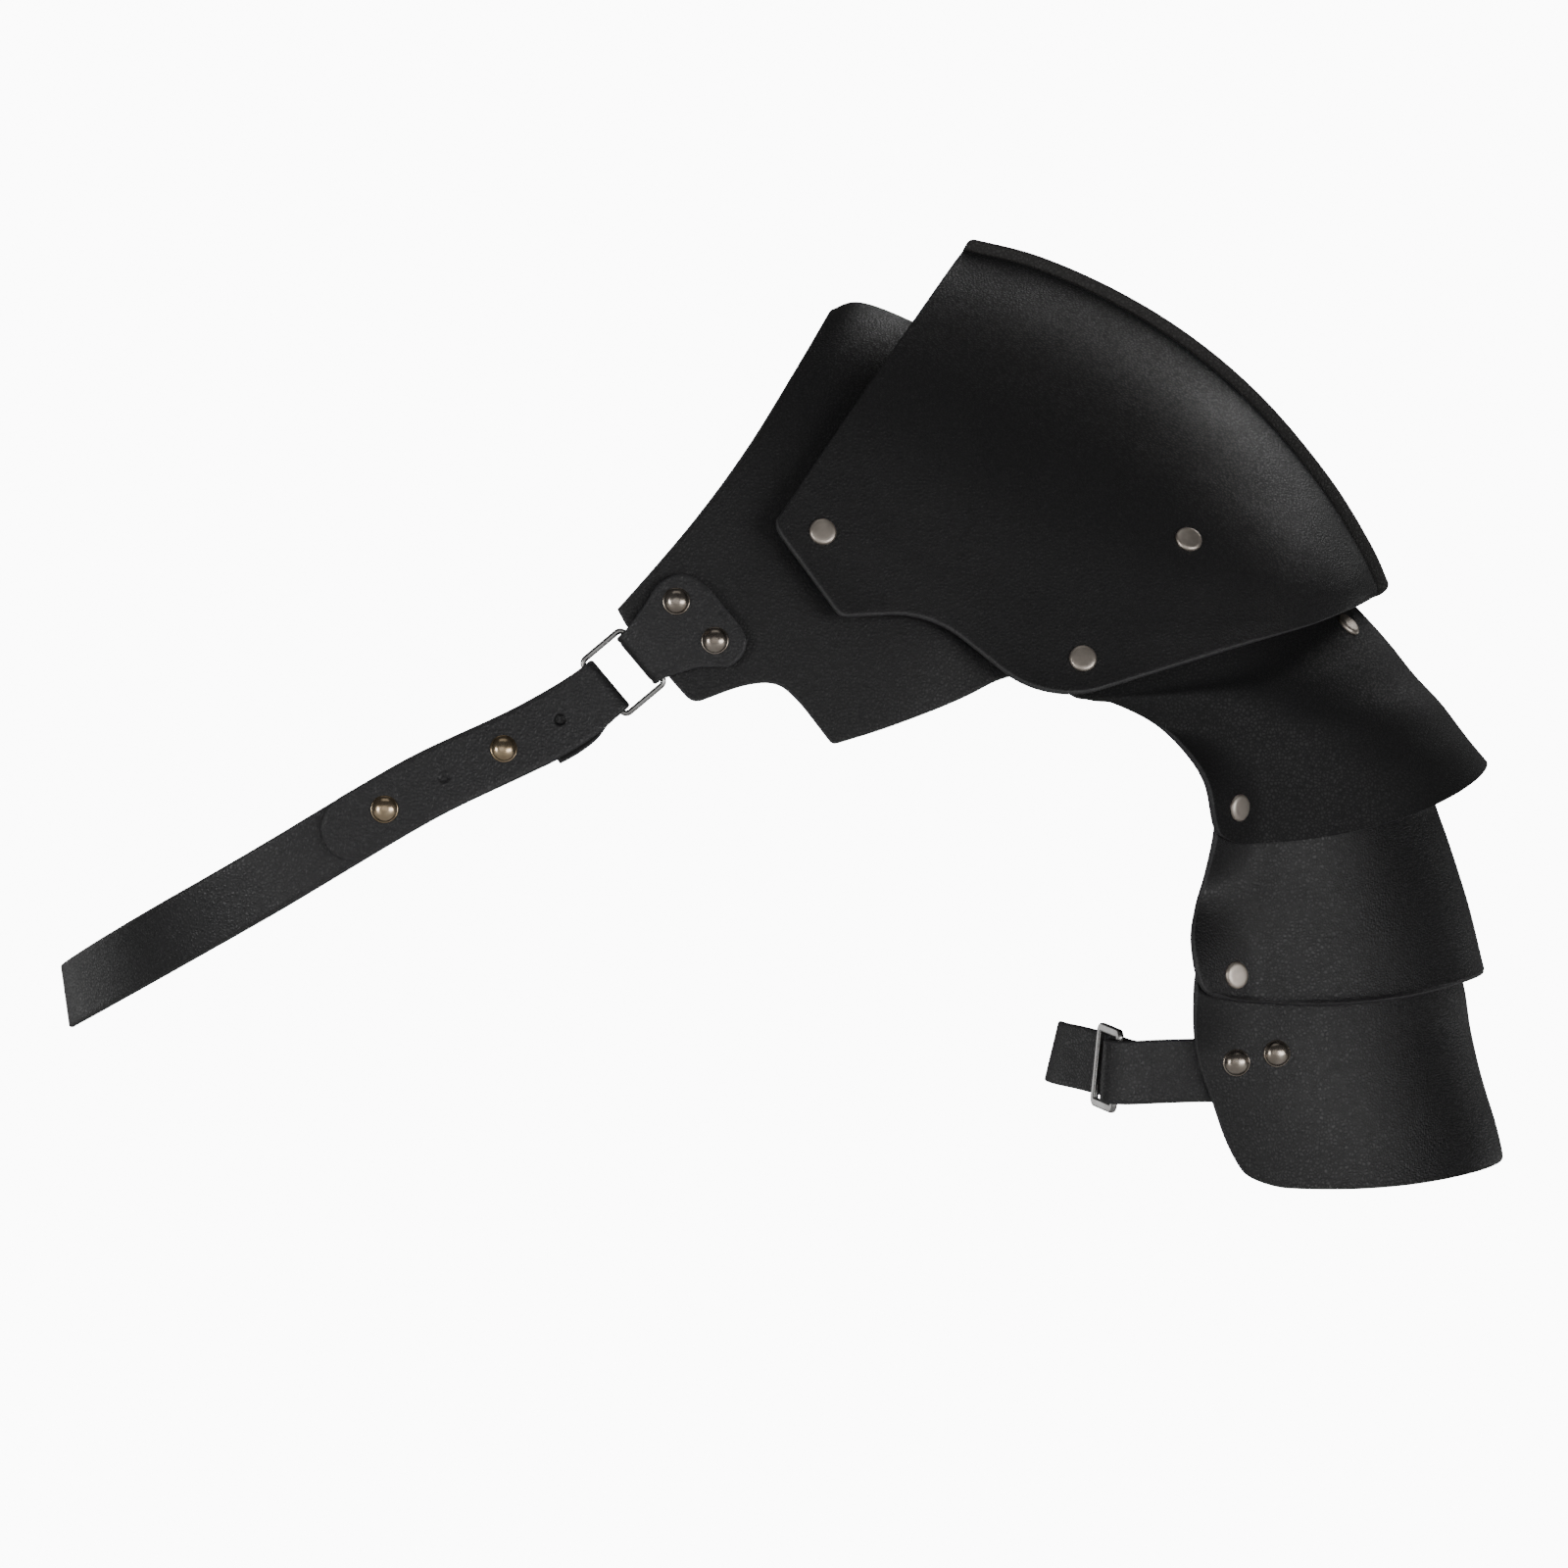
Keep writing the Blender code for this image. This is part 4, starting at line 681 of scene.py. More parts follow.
# a level holds: front out, front down, tip out, tip down, depth, flare, sag
upperLame = dict(lame, height=0.060, cornerCut=0.05, levels=[
    (0.031, 0.325, 0.612, 0.225, 1.200, 0.00, 0.000), (0.069, 0.392, 0.715, 0.279, 1.205, 0.00, 0.000),
    (0.157, 0.405, 0.790, 0.328, 1.175, 0.10, 0.000), (0.249, 0.432, 0.836, 0.378, 1.125, 0.30, 0.001),
    (0.312, 0.467, 0.881, 0.413, 1.075, 0.55, 0.003), (0.350, 0.504, 0.927, 0.449, 1.040, 0.80, 0.004),
    (0.367, 0.552, 0.958, 0.471, 1.010, 1.00, 0.006), (0.385, 0.577, 0.971, 0.480, 1.000, 1.00, 0.006)])
middleLame = dict(lame, height=0.060, levels=[
    (0.372, 0.500, 0.823, 0.467, 0.985, 0.90, 0.004), (0.376, 0.545, 0.844, 0.500, 0.985, 1.00, 0.005),
    (0.371, 0.575, 0.858, 0.532, 0.985, 1.00, 0.006), (0.353, 0.618, 0.882, 0.572, 0.980, 0.90, 0.008),
    (0.333, 0.655, 0.906, 0.615, 0.990, 0.85, 0.010), (0.323, 0.698, 0.931, 0.664, 1.000, 0.80, 0.012),
    (0.341, 0.751, 0.958, 0.730, 1.000, 0.80, 0.014), (0.387, 0.767, 0.963, 0.738, 0.995, 0.70, 0.014)])
lowerLame = dict(lame, height=0.070, cornerCut=0.075, levels=[
    (0.352, 0.692, 0.870, 0.684, 0.968, 0.70, 0.008), (0.338, 0.727, 0.893, 0.722, 0.968, 0.70, 0.008),
    (0.330, 0.758, 0.917, 0.757, 0.965, 0.60, 0.008), (0.330, 0.806, 0.931, 0.810, 0.955, 0.30, 0.008),
    (0.342, 0.849, 0.948, 0.856, 0.950, 0.10, 0.008), (0.371, 0.897, 0.965, 0.892, 0.940, 0.00, 0.009),
    (0.397, 0.941, 0.984, 0.928, 0.930, 0.00, 0.010), (0.428, 0.976, 0.998, 0.962, 0.925, 0.00, 0.010),
    (0.462, 0.999, 1.000, 0.975, 0.920, 0.00, 0.008)])
underPlate = {
    "span": 0.2294, "fall": 0.1401, "depth": 0.0890, "inward": 0.1254, "rise": 0.0226, "bow": 0.0040,
    "startDepth": 0.0, "crestPower": 2.3,
    "ribs": [  # crest along the span, crest down, foot along the span, foot down, depth
        (0.290, 0.016, 0.000, 0.689, 0.945), (0.332, 0.000, 0.108, 0.879, 0.950), (0.420, 0.058, 0.231, 0.980, 0.950),
        (0.547, 0.161, 0.353, 1.000, 0.940), (0.673, 0.268, 0.488, 0.960, 0.920), (0.799, 0.395, 0.636, 0.899, 0.860),
        (0.910, 0.560, 0.800, 0.850, 0.710), (0.998, 0.730, 0.970, 0.838, 0.330)],
    "edge": [  # along the span, down, corner radius
        (0.020, 0.647, 0.000), (0.032, 0.684, 0.007), (0.091, 0.800, 0.020), (0.116, 0.846, 0.022),
        (0.180, 0.806, 0.045), (0.222, 0.800, 0.045), (0.250, 0.842, 0.030), (0.291, 0.930, 0.010),
        (0.358, 0.897, 0.080), (0.455, 0.835, 0.080), (0.512, 0.782, 0.060), (0.600, 0.780, 0.080),
        (0.724, 0.790, 0.080), (0.852, 0.800, 0.060), (0.965, 0.812, 0.000)],
}


def crestSection(s):
    # close to a quarter ellipse: level over the crest, upright at the foot
    return np.sqrt(np.maximum(0, 1 - (1 - np.minimum(s, 1)) ** underPlate["crestPower"]))


underPlate["section"] = crestSection
layer = leather["plateWall"] + leather["layerGap"]
upperGrid = tuckUnder(lameGrid(upperLame, 80, 90), [mainFront, mainBack], layer)
middleGrid = tuckUnder(lameGrid(middleLame, 80, 90), [upperGrid], layer)
lowerGrid = tuckUnder(lameGrid(lowerLame, 90, 90), [middleGrid], layer)
underGrid = tuckUnder(plateGrid(underPlate, 170, 70, True), [mainFront, mainBack, upperGrid], layer)
curls = [  # rivet's place in the front view, slope, reach, height
    ((0.0582, 0.1257), 0.75, 0.009, 0.024), ((0.0577, 0.1742), 0.45, 0.009, 0.024)]
upperGrid, middleGrid, lowerGrid = [curled(grid, curls) for grid in (upperGrid, middleGrid, lowerGrid)]
addSheet("upperLame", "plate", upperGrid, shadedUpperLameLeather, "upper_lame")
addSheet("middleLame", "plate", middleGrid, lameLeather, "middle_lame")
addSheet("lowerLame", "plate", lowerGrid, lameLeather, "lower_lame")
addSheet("underPlate", "plate", underGrid, underLeather, "under_plate_front under_plate_rear")
print("lames and under plate made")


# ring tabs: leather folded round the ring's bar, one leg over the plate and one under it

ringTab = {
    "length": 0.0264, "slope": math.radians(40), "barPlace": (0.0543, 0.7455), "width": 0.0190, "folded": 0.0174,
    "lineInset": 0.0017, "lineWidth": 0.00045, "lineDepth": 0.22, "legRows": 100, "legSpan": 0.030, "lastRow": 0.99,
    "columns": 70,
    "outline": [  # along, half width above, half width below
        (0.00, 0.458, 0.458), (0.20, 0.515, 0.580), (0.40, 0.590, 0.718), (0.52, 0.648, 0.860), (0.62, 0.670, 0.970),
        (0.72, 0.662, 0.995), (0.82, 0.612, 0.975), (0.91, 0.495, 0.905), (0.97, 0.310, 0.795), (1.00, 0.100, 0.600)]}
ring = {"wire": 0.0016, "inside": 0.0184, "pitch": 0.0152, "corner": 0.0018, "lead": 0.0025}
ringBar = np.array((ringTab["barPlace"][0] * underPlate["span"] - underPlate["inward"],
                    underPlate["rise"] - ringTab["barPlace"][1] * underPlate["fall"]))
tabAlong = np.array((math.cos(ringTab["slope"]), math.sin(ringTab["slope"])))
tabUp = np.array((-tabAlong[1], tabAlong[0]))
towardStrap = np.array((-tabAlong[0], 0.0, -tabAlong[1]))
foldRadius = ring["wire"] / 2 + leather["gap"] + leather["strapWall"] / 2


def fittedDepth(grid, centre, reach):
    # a second-order fit of the plate's depth round a place of the front view
    flat = grid.reshape(-1, 3)
    near = flat[(flat[:, 1] < 0) & (np.hypot(flat[:, 0] - centre[0], flat[:, 2] - centre[1]) < reach)]
    u, w = near[:, 0] - centre[0], near[:, 2] - centre[1]
    terms = np.stack((np.ones(len(u)), u, w, u * u, u * w, w * w), axis=1)
    a = np.linalg.lstsq(terms, near[:, 1], rcond=None)[0]

    def depthAt(x, z):
        u, w = x - centre[0], z - centre[1]
        return a[0] + a[1] * u + a[2] * w + a[3] * u * u + a[4] * u * w + a[5] * w * w

    return depthAt


plateDepth = fittedDepth(underGrid, ringBar + ringTab["length"] * np.array((0.5, 0.25)), ringTab["length"])


def tabGrid():
    # the profile goes along the under leg, half round the bar and back along the upper leg; a leg's rows are close
    # together at its tip, and the last row before the fold stands off it a little
    table = np.array(ringTab["outline"])
    fromTip = edgeSpaced(ringTab["legRows"], ringTab["legSpan"])[:-5] * ringTab["lastRow"]
    legShares = np.unique(np.append(1 - fromTip, 0.0))
    widths = smoothCurve(table[:, 0], table[:, 1:3], legShares)
    blend = np.clip(legShares / 0.2, 0, 1)
    blend = blend * blend * (3 - 2 * blend)
    legOffset = (leather["plateWall"] + leather["strapWall"]) / 2 + leather["tabGap"]
    offset = foldRadius * (1 - blend) + legOffset * blend
    turn = np.linspace(0, math.pi, 25)[1:-1]
    legRun = legShares * ringTab["length"]
    along = np.concatenate((legRun[::-1], -foldRadius * np.sin(turn), legRun))
    offset = np.concatenate((-offset[::-1], -foldRadius * np.cos(turn), offset))
    fold = np.full((len(turn), 2), ringTab["folded"] / ringTab["width"] / 2)
    widths = np.concatenate((widths[::-1], fold, widths)) * ringTab["width"]
    across = edgeSpaced(ringTab["columns"], ringTab["width"])[None] * widths.sum(1)[:, None] - widths[:, 1:2]
    flat = ringBar + tabAlong * along[:, None, None] + tabUp * across[:, :, None]
    x, z = flat[:, :, 0], flat[:, :, 1]
    step = 1e-4
    slopeX = (plateDepth(x + step, z) - plateDepth(x - step, z)) / (2 * step)
    slopeZ = (plateDepth(x, z + step) - plateDepth(x, z - step)) / (2 * step)
    normal = np.stack((slopeX, -np.ones_like(x), slopeZ), axis=2)
    normal /= np.linalg.norm(normal, axis=2)[:, :, None]
    return np.stack((x, plateDepth(x, z), z), axis=2) + normal * offset[:, None, None]


frontTab = tabGrid()
rearTab = mirrored(frontTab)[:, ::-1]


def facing(grid, outwardsAt):
    # the grid turned over if its normals point the wrong way at one place
    row, column, direction = outwardsAt
    return grid if normalsOf(grid)[row, column] @ np.array(direction, float) > 0 else grid[:, ::-1]


def pressedLine(grid):
    # a shallow groove at one distance from the cut edge, deepest on its line
    aside = (rimDistance(grid) - ringTab["lineInset"]) / ringTab["lineWidth"]
    return ringTab["lineDepth"] * np.exp(-aside ** 2)


for name, grid, stands, way in (("ringTabFront", frontTab, "ring_tab_front", -1.0),
                                ("ringTabRear", rearTab, "ring_tab_rear", 1.0)):
    grid = facing(grid, (len(grid) - 20, 20, (0, way, 0)))
    addSheet(name, "strap", grid, strapLeather, stands, pressedLine(grid))


def ringPath(length, pitch, corner, perCorner=12):
    # a rounded rectangle: four corner arcs joined by straight runs
    quarter = np.linspace(0, math.pi / 2, perCorner)
    turn = (np.arange(4)[:, None] * math.pi / 2 + quarter[None]).ravel()
    signs = np.repeat(np.array(((1, 1), (-1, 1), (-1, -1), (1, -1))), perCorner, axis=0)
    a = signs[:, 0] * (length / 2 - corner) + corner * np.cos(turn)
    b = signs[:, 1] * (pitch / 2 - corner) + corner * np.sin(turn)
    return a, b, turn


def wireRing(centre, longSide, shortSide, length, pitch, corner, section):
    a, b, turn = ringPath(length, pitch, corner)
    path = centre + a[:, None] * longSide + b[:, None] * shortSide
    radial = np.cos(turn)[:, None] * longSide + np.sin(turn)[:, None] * shortSide
    return sweptRing(path, radial, np.cross(longSide, shortSide), section)


circle = np.linspace(0, 2 * math.pi, 18, endpoint=False)
wireSection = np.stack((np.cos(circle), np.sin(circle)), axis=1) * ring["wire"] / 2
strapBars = []
for name, stands, side in (("strapRingFront", "strap_ring_front", 1.0), ("strapRingRear", "strap_ring_rear", -1.0)):
    tabBar = np.array((ringBar[0], side * plateDepth(*ringBar), ringBar[1]))
    points, faces = wireRing(tabBar + towardStrap * ring["pitch"] / 2, np.array((tabUp[0], 0, tabUp[1])), towardStrap,
                             ring["inside"] + ring["wire"], ring["pitch"], ring["corner"], wireSection)
    addPiece(name, points, faces, wireMetal, [stands])
    strapBars.append(tabBar + towardStrap * ring["pitch"])
print("tabs and rings made")


# straps: flat bands carried along a route

def makeRoute(points, widths):
    # one smooth line through the points, with the direction of the band's width beside it
    points = np.array(points, float)
    knots = runLengths(points)
    fine = np.linspace(0, knots[-1], 3000)
    places = smoothCurve(knots, points, fine)
    lengths = runLengths(places)
    return {"places": places, "lengths": lengths, "length": lengths[-1],
            "widths": smoothCurve(knots, np.array(widths, float), fine)}


def routeFrame(route, distance):
    # place, direction, width direction and outward direction at a length along the route
    distance = np.atleast_1d(np.asarray(distance, float))
    inside = np.clip(distance, 0, route["length"])

    def at(values, where):
        return np.stack([np.interp(where, route["lengths"], values[:, k]) for k in range(3)], axis=1)

    place = at(route["places"], inside)
    after, before = np.minimum(route["length"], inside + 0.0005), np.maximum(0, inside - 0.0005)
    tangent = at(route["places"], after) - at(route["places"], before)
    tangent /= np.linalg.norm(tangent, axis=1)[:, None]
    width = at(route["widths"], inside)
    width /= np.linalg.norm(width, axis=1)[:, None]
    outer = np.cross(tangent, width)
    outer /= np.linalg.norm(outer, axis=1)[:, None]
    return place + tangent * (distance - inside)[:, None], tangent, width, outer


def bandGrid(route, stations, step, columns, width):
    # stations hold: length along the route, offset outwards, shift and half width; a smooth line goes through them
    stations = np.array(stations, float)
    steps = np.diff(stations, axis=0)
    knots = np.concatenate(([0], np.cumsum(np.hypot(steps[:, 0], steps[:, 1]) + np.abs(steps[:, 3]))))
    count = int(knots[-1] / step)
    fine = smoothCurve(knots, stations, edgeSpaced(count, knots[-1]) * knots[-1])
    place, _, way, outer = routeFrame(route, fine[:, 0])
    across = edgeSpaced(columns, width) * 2 - 1
    reach = fine[:, 2:3] + np.maximum(fine[:, 3:4], 1e-5) * across[None]
    return (place + outer * fine[:, 1:2])[:, None] + way[:, None] * reach[:, :, None], fine


def foldStations(barAt, radius, half, direction):
    # half a turn round a bar
    turn = np.linspace(0, math.pi, 13)
    return [(barAt + direction * radius * math.sin(t), -radius * math.cos(t), 0.0, half) for t in turn]


chestStrap = {
    "width": 0.0190, "reach": 0.2842, "drop": 0.1815, "depth": 0.0970, "tongue": 0.0921, "tongueBack": 0.0231,
    "tongueShift": 0.0016, "start": 0.0261, "rearFold": 0.0270, "holePitch": 0.0190, "holeRadius": 0.0016,
    "firstHole": 0.0157,
    "path": [  # inward, down, forward, lean of the width
        (0.632, 0.672, 0.985, 0.500), (0.785, 0.814, 0.950, 0.490),
        (0.890, 0.906, 0.760, 0.420), (0.962, 0.968, 0.420, 0.260), (1.000, 1.000, 0.000, 0.135)]}
path = np.array(chestStrap["path"])
chestRows = -path[:, (0, 2, 1)] * (chestStrap["reach"], chestStrap["depth"], chestStrap["drop"])
leans = np.stack((path[:, 3], np.zeros(len(path)), -np.sqrt(1 - path[:, 3] ** 2)), axis=1)
barLean = np.array((math.sin(ringTab["slope"]), 0.0, -math.cos(ringTab["slope"])))
frontRun = np.concatenate(([strapBars[0], strapBars[0] + towardStrap * ring["lead"]], chestRows))
frontWidths = np.concatenate(([barLean, barLean], leans))
chestRoute = makeRoute(np.concatenate((frontRun, mirrored(frontRun[:-1])[::-1])),
                       np.concatenate((frontWidths, frontWidths[:-1][::-1])))
half = chestStrap["width"] / 2
strapLayer = leather["strapWall"] + leather["gap"]

back, shift = chestStrap["tongueBack"], chestStrap["tongueShift"]
folded = ringTab["folded"] / 2
stations = [(back, 0.0, shift, half), (back * 0.75, -foldRadius * 0.15, shift, half),
            (back * 0.45, -foldRadius * 0.55, shift * 0.6, half), (back * 0.18, -foldRadius * 0.95, 0.0, folded)]
stations += foldStations(0.0, foldRadius, folded, -1.0)
body = chestStrap["tongue"] - half
for share in np.linspace(0.06, 1, 14):
    stations.append((body * share, foldRadius + (strapLayer - foldRadius) * min(1, share * 3), 0.0,
                     folded + (half - folded) * min(1, share * 6)))
for angle in np.radians((12, 25, 36, 46, 55, 63, 70, 76, 81, 85, 88, 89.7)):
    stations.append((body + half * math.sin(angle), strapLayer, 0.0, half * math.cos(angle)))
tongueGrid, tongueLine = bandGrid(chestRoute, stations, 0.00036, 56, chestStrap["width"])
dents = np.zeros(tongueGrid.shape[:2])
# the sunk middle of each hole is painted near-black by the leather material, as painted shade
for step, depth in ((0, 1.0), (2, 0.55)):  # punched holes: the wall sinks within the radius
    place, _, _, outer = routeFrame(chestRoute, chestStrap["firstHole"] + chestStrap["holePitch"] * step)
    away = np.linalg.norm(tongueGrid - (place + outer * strapLayer), axis=2)
    onTop = tongueLine[:, 1:2] > foldRadius * 0.3
    edge = np.clip((chestStrap["holeRadius"] * 1.15 - away) / (chestStrap["holeRadius"] * 0.3), 0, 1)
    dents = np.maximum(dents, edge * onTop * depth)
addSheet("chestStrapTongue", "strap", tongueGrid, strapLeather, "chest_strap_tongue", dents * 0.96)

end, fold = chestRoute["length"], chestStrap["rearFold"]
stations = [(chestStrap["start"], 0.0, 0.0, half)]
stations += [(place, 0.0, 0.0, half) for place in np.linspace(chestStrap["start"] + 0.010, end - fold - 0.006, 42)]
stations += [(end - fold * 0.5, foldRadius * 0.5, 0.0, half), (end - fold * 0.15, foldRadius * 0.95, 0.0, folded)]
stations += foldStations(end, foldRadius, folded, 1.0)[::-1]
stations += [(end - fold * 0.2, -foldRadius, 0.0, folded), (end - fold * 0.6, -foldRadius, 0.0, half),
             (end - fold, -strapLayer, 0.0, half)]
chestGrid, _ = bandGrid(chestRoute, stations, 0.0014, 14, chestStrap["width"])
addSheet("chestStrapLong", "strap", chestGrid, strapLeather, "chest_strap")
print("chest strap made, %.0f mm along its route" % (chestRoute["length"] * 1000))

armStrap = {"width": 0.0185, "level": 0.2020, "rise": 0.0040, "tuck": 0.0290, "fold": 0.0140, "bar": 0.0026,
            "wall": 0.0018, "inside": 0.0196, "pitch": 0.0130, "place": 0.0550,
            "path": [  # out, forward, share of the rise, lean of the width
                (0.262, 0.840, -0.10, 0.00), (0.197, 0.745, -0.20, 0.02), (0.158, 0.570, 0.25, 0.08),
                (0.110, 0.380, 0.65, 0.15), (0.068, 0.180, 0.90, 0.22), (0.054, 0.000, 1.00, 0.24)]}
inward = leather["plateWall"] / 2 + leather["gap"] * 2 + leather["strapWall"] / 2
edgeX = lowerLame["levels"][4][0] * lame["reach"] + 0.001
armPoints = []
for share in (1.0, 0.6, 0.28, 0.0):
    point, normal = surfaceAt(lowerGrid, (edgeX + armStrap["tuck"] * share, armStrap["level"]), True)
    armPoints.append((point - normal * inward) * np.array((1, 1, 0)) + np.array((0, 0, -armStrap["level"])))
for out, forward, share, lean in armStrap["path"]:
    armPoints.append((out * lame["reach"], -forward * lame["depth"], armStrap["rise"] * share - armStrap["level"]))
armPoints = np.array(armPoints)
whole = np.concatenate((armPoints, mirrored(armPoints[:-1])[::-1]))
tangent = np.gradient(whole, axis=0)
tangent /= np.linalg.norm(tangent, axis=1)[:, None]
leans = np.array([0.0] * 4 + [row[3] for row in armStrap["path"]])
leans = np.concatenate((leans, leans[:-1][::-1]))
armWidths = np.stack((-leans, 0 * leans, -np.ones(len(leans))), axis=1)
armWidths -= tangent * (tangent * armWidths).sum(1)[:, None]
armRoute = makeRoute(whole, armWidths / np.linalg.norm(armWidths, axis=1)[:, None])
half = armStrap["width"] / 2
barOne, barTwo = armStrap["place"], armStrap["place"] + armStrap["pitch"]
armFold = math.hypot(armStrap["bar"], armStrap["wall"]) / 2 + 2 * leather["gap"] + leather["strapWall"] / 2
lift = armStrap["wall"] / 2 + leather["gap"] * 2 + leather["strapWall"] / 2
sink = lift - armFold - leather["strapWall"] - 2 * leather["gap"]
start = armStrap["tuck"]
behind = (leather["plateWall"] + leather["strapWall"]) / 2 + leather["layerGap"]

stations = [(0.0, 0.0, 0.0, half)] + [(start * share, 0.0, 0.0, half) for share in np.linspace(0.15, 1, 5)]
stations += [(start + (barOne - start) * share, (lift + armFold) * share ** 1.5, 0.0, half)
             for share in (0.35, 0.7, 0.92)]
stations += [(a, lift + b, c, d) for a, b, c, d in foldStations(barOne, armFold, half, 1.0)[::-1]]
stations += [(barOne - armStrap["fold"] * 0.4, lift - armFold, 0.0, half),
             (barOne - armStrap["fold"] * 0.85, lift - armFold - 0.0002, 0.0, half)]
armFrontGrid = tuckUnder(bandGrid(armRoute, stations, 0.0007, 20, armStrap["width"])[0], [lowerGrid], behind)
stations = [(barOne - armStrap["fold"] * 0.5, sink, 0.0, half), (barOne, sink, 0.0, half),
            (barOne + armStrap["pitch"] * 0.5, sink * 0.6, 0.0, half), (barTwo, -leather["gap"], 0.0, half)]
stations += [(place, 0.0, 0.0, half) for place in np.linspace(barTwo + 0.005, armRoute["length"] - start, 16)]
stations += [(armRoute["length"] - start * share, 0.0, 0.0, half) for share in np.linspace(0.8, 0, 5)]
armRearGrid = tuckUnder(bandGrid(armRoute, stations, 0.0012, 16, armStrap["width"])[0], [lowerGrid], behind)
addSheet("armStrapFront", "strap", armFrontGrid, strapLeather, "arm_strap_front")
addSheet("armStrapRear", "strap", armRearGrid, strapLeather, "arm_strap_rear")

place, _, way, outer = routeFrame(armRoute, (barOne, barTwo))
bars = place + outer * lift
chord = bars[1] - bars[0]
pitch = np.linalg.norm(chord)
chord /= pitch
longSide = -(way[0] - chord * (way[0] @ chord))
longSide /= np.linalg.norm(longSide)
flatTurn = np.linspace(0, 2 * math.pi, 20, endpoint=False)
flatSection = np.stack((np.sign(np.cos(flatTurn)) * np.abs(np.cos(flatTurn)) ** 0.5 * armStrap["bar"] / 2,
                        np.sign(np.sin(flatTurn)) * np.abs(np.sin(flatTurn)) ** 0.5 * armStrap["wall"] / 2), axis=1)
points, faces = wireRing(bars.mean(0), longSide, chord, armStrap["inside"] + armStrap["bar"], pitch,
                         armStrap["bar"] / 2, flatSection)
addPiece("armStrapBuckle", points, faces, wireMetal, ["arm_strap_buckle"])
print("arm strap and buckle made")


# rivets

rivet = {
    "radius": 0.0040, "capHeight": 0.0014, "domeHeight": 0.0026, "shank": 0.0014, "tailRadius": 0.0030,
    "tailHeight": 0.0008, "sunk": 0.00018, "rearStudWall": 0.0036,
    # caps: share of the height, share of the radius
    "flatCap": [(1.00, 0.00), (0.99, 0.30), (0.965, 0.58), (0.91, 0.76), (0.78, 0.885), (0.55, 0.965),
                (0.28, 1.00), (0.00, 0.985)],
    "domedCap": [(1.00, 0.00), (0.975, 0.22), (0.90, 0.42), (0.775, 0.60), (0.60, 0.75), (0.40, 0.86),
                 (0.24, 0.915), (0.20, 0.96), (0.10, 1.00), (0.00, 0.985)],
    # tail: share of the height, share of the radius
    "tail": [(0.0, 0.97), (0.5, 1.0), (0.9, 0.9), (1.0, 0.7), (1.0, 0.0)]}


def rivetProfile(domed, over, under):
    # cap, shank and tail from top to bottom
    cap = np.array(rivet["domedCap" if domed else "flatCap"])
    fine = smoothCurve(np.linspace(0, 1, len(cap)), cap, np.linspace(0, 1, 34))
    fine[0, 1] = 0.0
    top = rivet["domeHeight" if domed else "capHeight"]
    capRows = np.stack((over + fine[:, 0] * top, np.maximum(fine[:, 1], 0) * rivet["radius"]), axis=1)
    shank = ((over, rivet["shank"]), (under, rivet["shank"]))
    tail = np.array(rivet["tail"]) * (-rivet["tailHeight"], rivet["tailRadius"]) + (under, 0.0)
    return np.concatenate((capRows, shank, tail))


def addRivet(name, stands, centre, axis, metal, innerGrid, outerWall, innerWall):
    over = outerWall / 2 - rivet["sunk"]
    under = heightUnder(innerGrid, centre, axis) - innerWall / 2 + rivet["sunk"]
    domed = metal is not capMetal
    points, faces = turnedSolid(rivetProfile(domed, over, under), centre, axis)
    addPiece(name, points, faces, metal, [stands])


def tabPlace(along, across):
    place = ringBar + tabAlong * along * ringTab["length"] + tabUp * across * ringTab["width"]
    return place[0], -place[1]


plateWall, strapWall = leather["plateWall"], leather["strapWall"]
pairedRivets = [  # name, place in the front view, the sheet that it sits on, the sheet behind
    ("chest_rivet", (-0.0615, 0.0466), "panel", "under"), ("outer_rivet", (0.0444, 0.0486), "panel", "under"),
    ("lobe_rivet", (0.0134, 0.0831), "panel", "under"), ("side_rivet", (0.0922, 0.0728), "upper", "under"),
    ("upper_lame_rivet", (0.0582, 0.1257), "upper", "middle"),
    ("middle_lame_rivet", (0.0577, 0.1742), "middle", "lower"),
    ("tab_rivet_upper", tabPlace(0.648, 0.300), "upperLeg", "underLeg"),
    ("tab_rivet_lower", tabPlace(0.696, -0.531), "upperLeg", "underLeg"),
    ("arm_strap_rivet_inner", (0.0584, 0.1996), "lower", "arm"),
    ("arm_strap_rivet_outer", (0.0701, 0.1970), "lower", "arm")]
legRows = len(frontTab) // 2
for side, front, panel, tab, armGrid in (("front", True, mainFront, frontTab, armFrontGrid),
                                         ("rear", False, mainBack, rearTab, armRearGrid)):
    sheets = {"panel": (panel, plateWall), "under": (underGrid, plateWall), "upper": (upperGrid, plateWall),
              "middle": (middleGrid, plateWall), "lower": (lowerGrid, plateWall), "arm": (armGrid, strapWall),
              "upperLeg": (tab[legRows:], strapWall), "underLeg": (tab[:legRows], strapWall)}
    for name, place, outerName, innerName in pairedRivets:
        outerGrid, outerWall = sheets[outerName]
        innerGrid, innerWall = sheets[innerName]
        centre, axis = surfaceAt(outerGrid, place, front)
        if axis[1] * (-1 if front else 1) < 0:
            axis = -axis
        words = name.split("_")
        pieceName = words[0] + "".join(w.capitalize() for w in words[1:]) + side.capitalize()
        metal = domeMetal if innerWall == strapWall else capMetal
        addRivet(pieceName, name + "_" + side, centre, axis, metal, innerGrid, outerWall, innerWall)

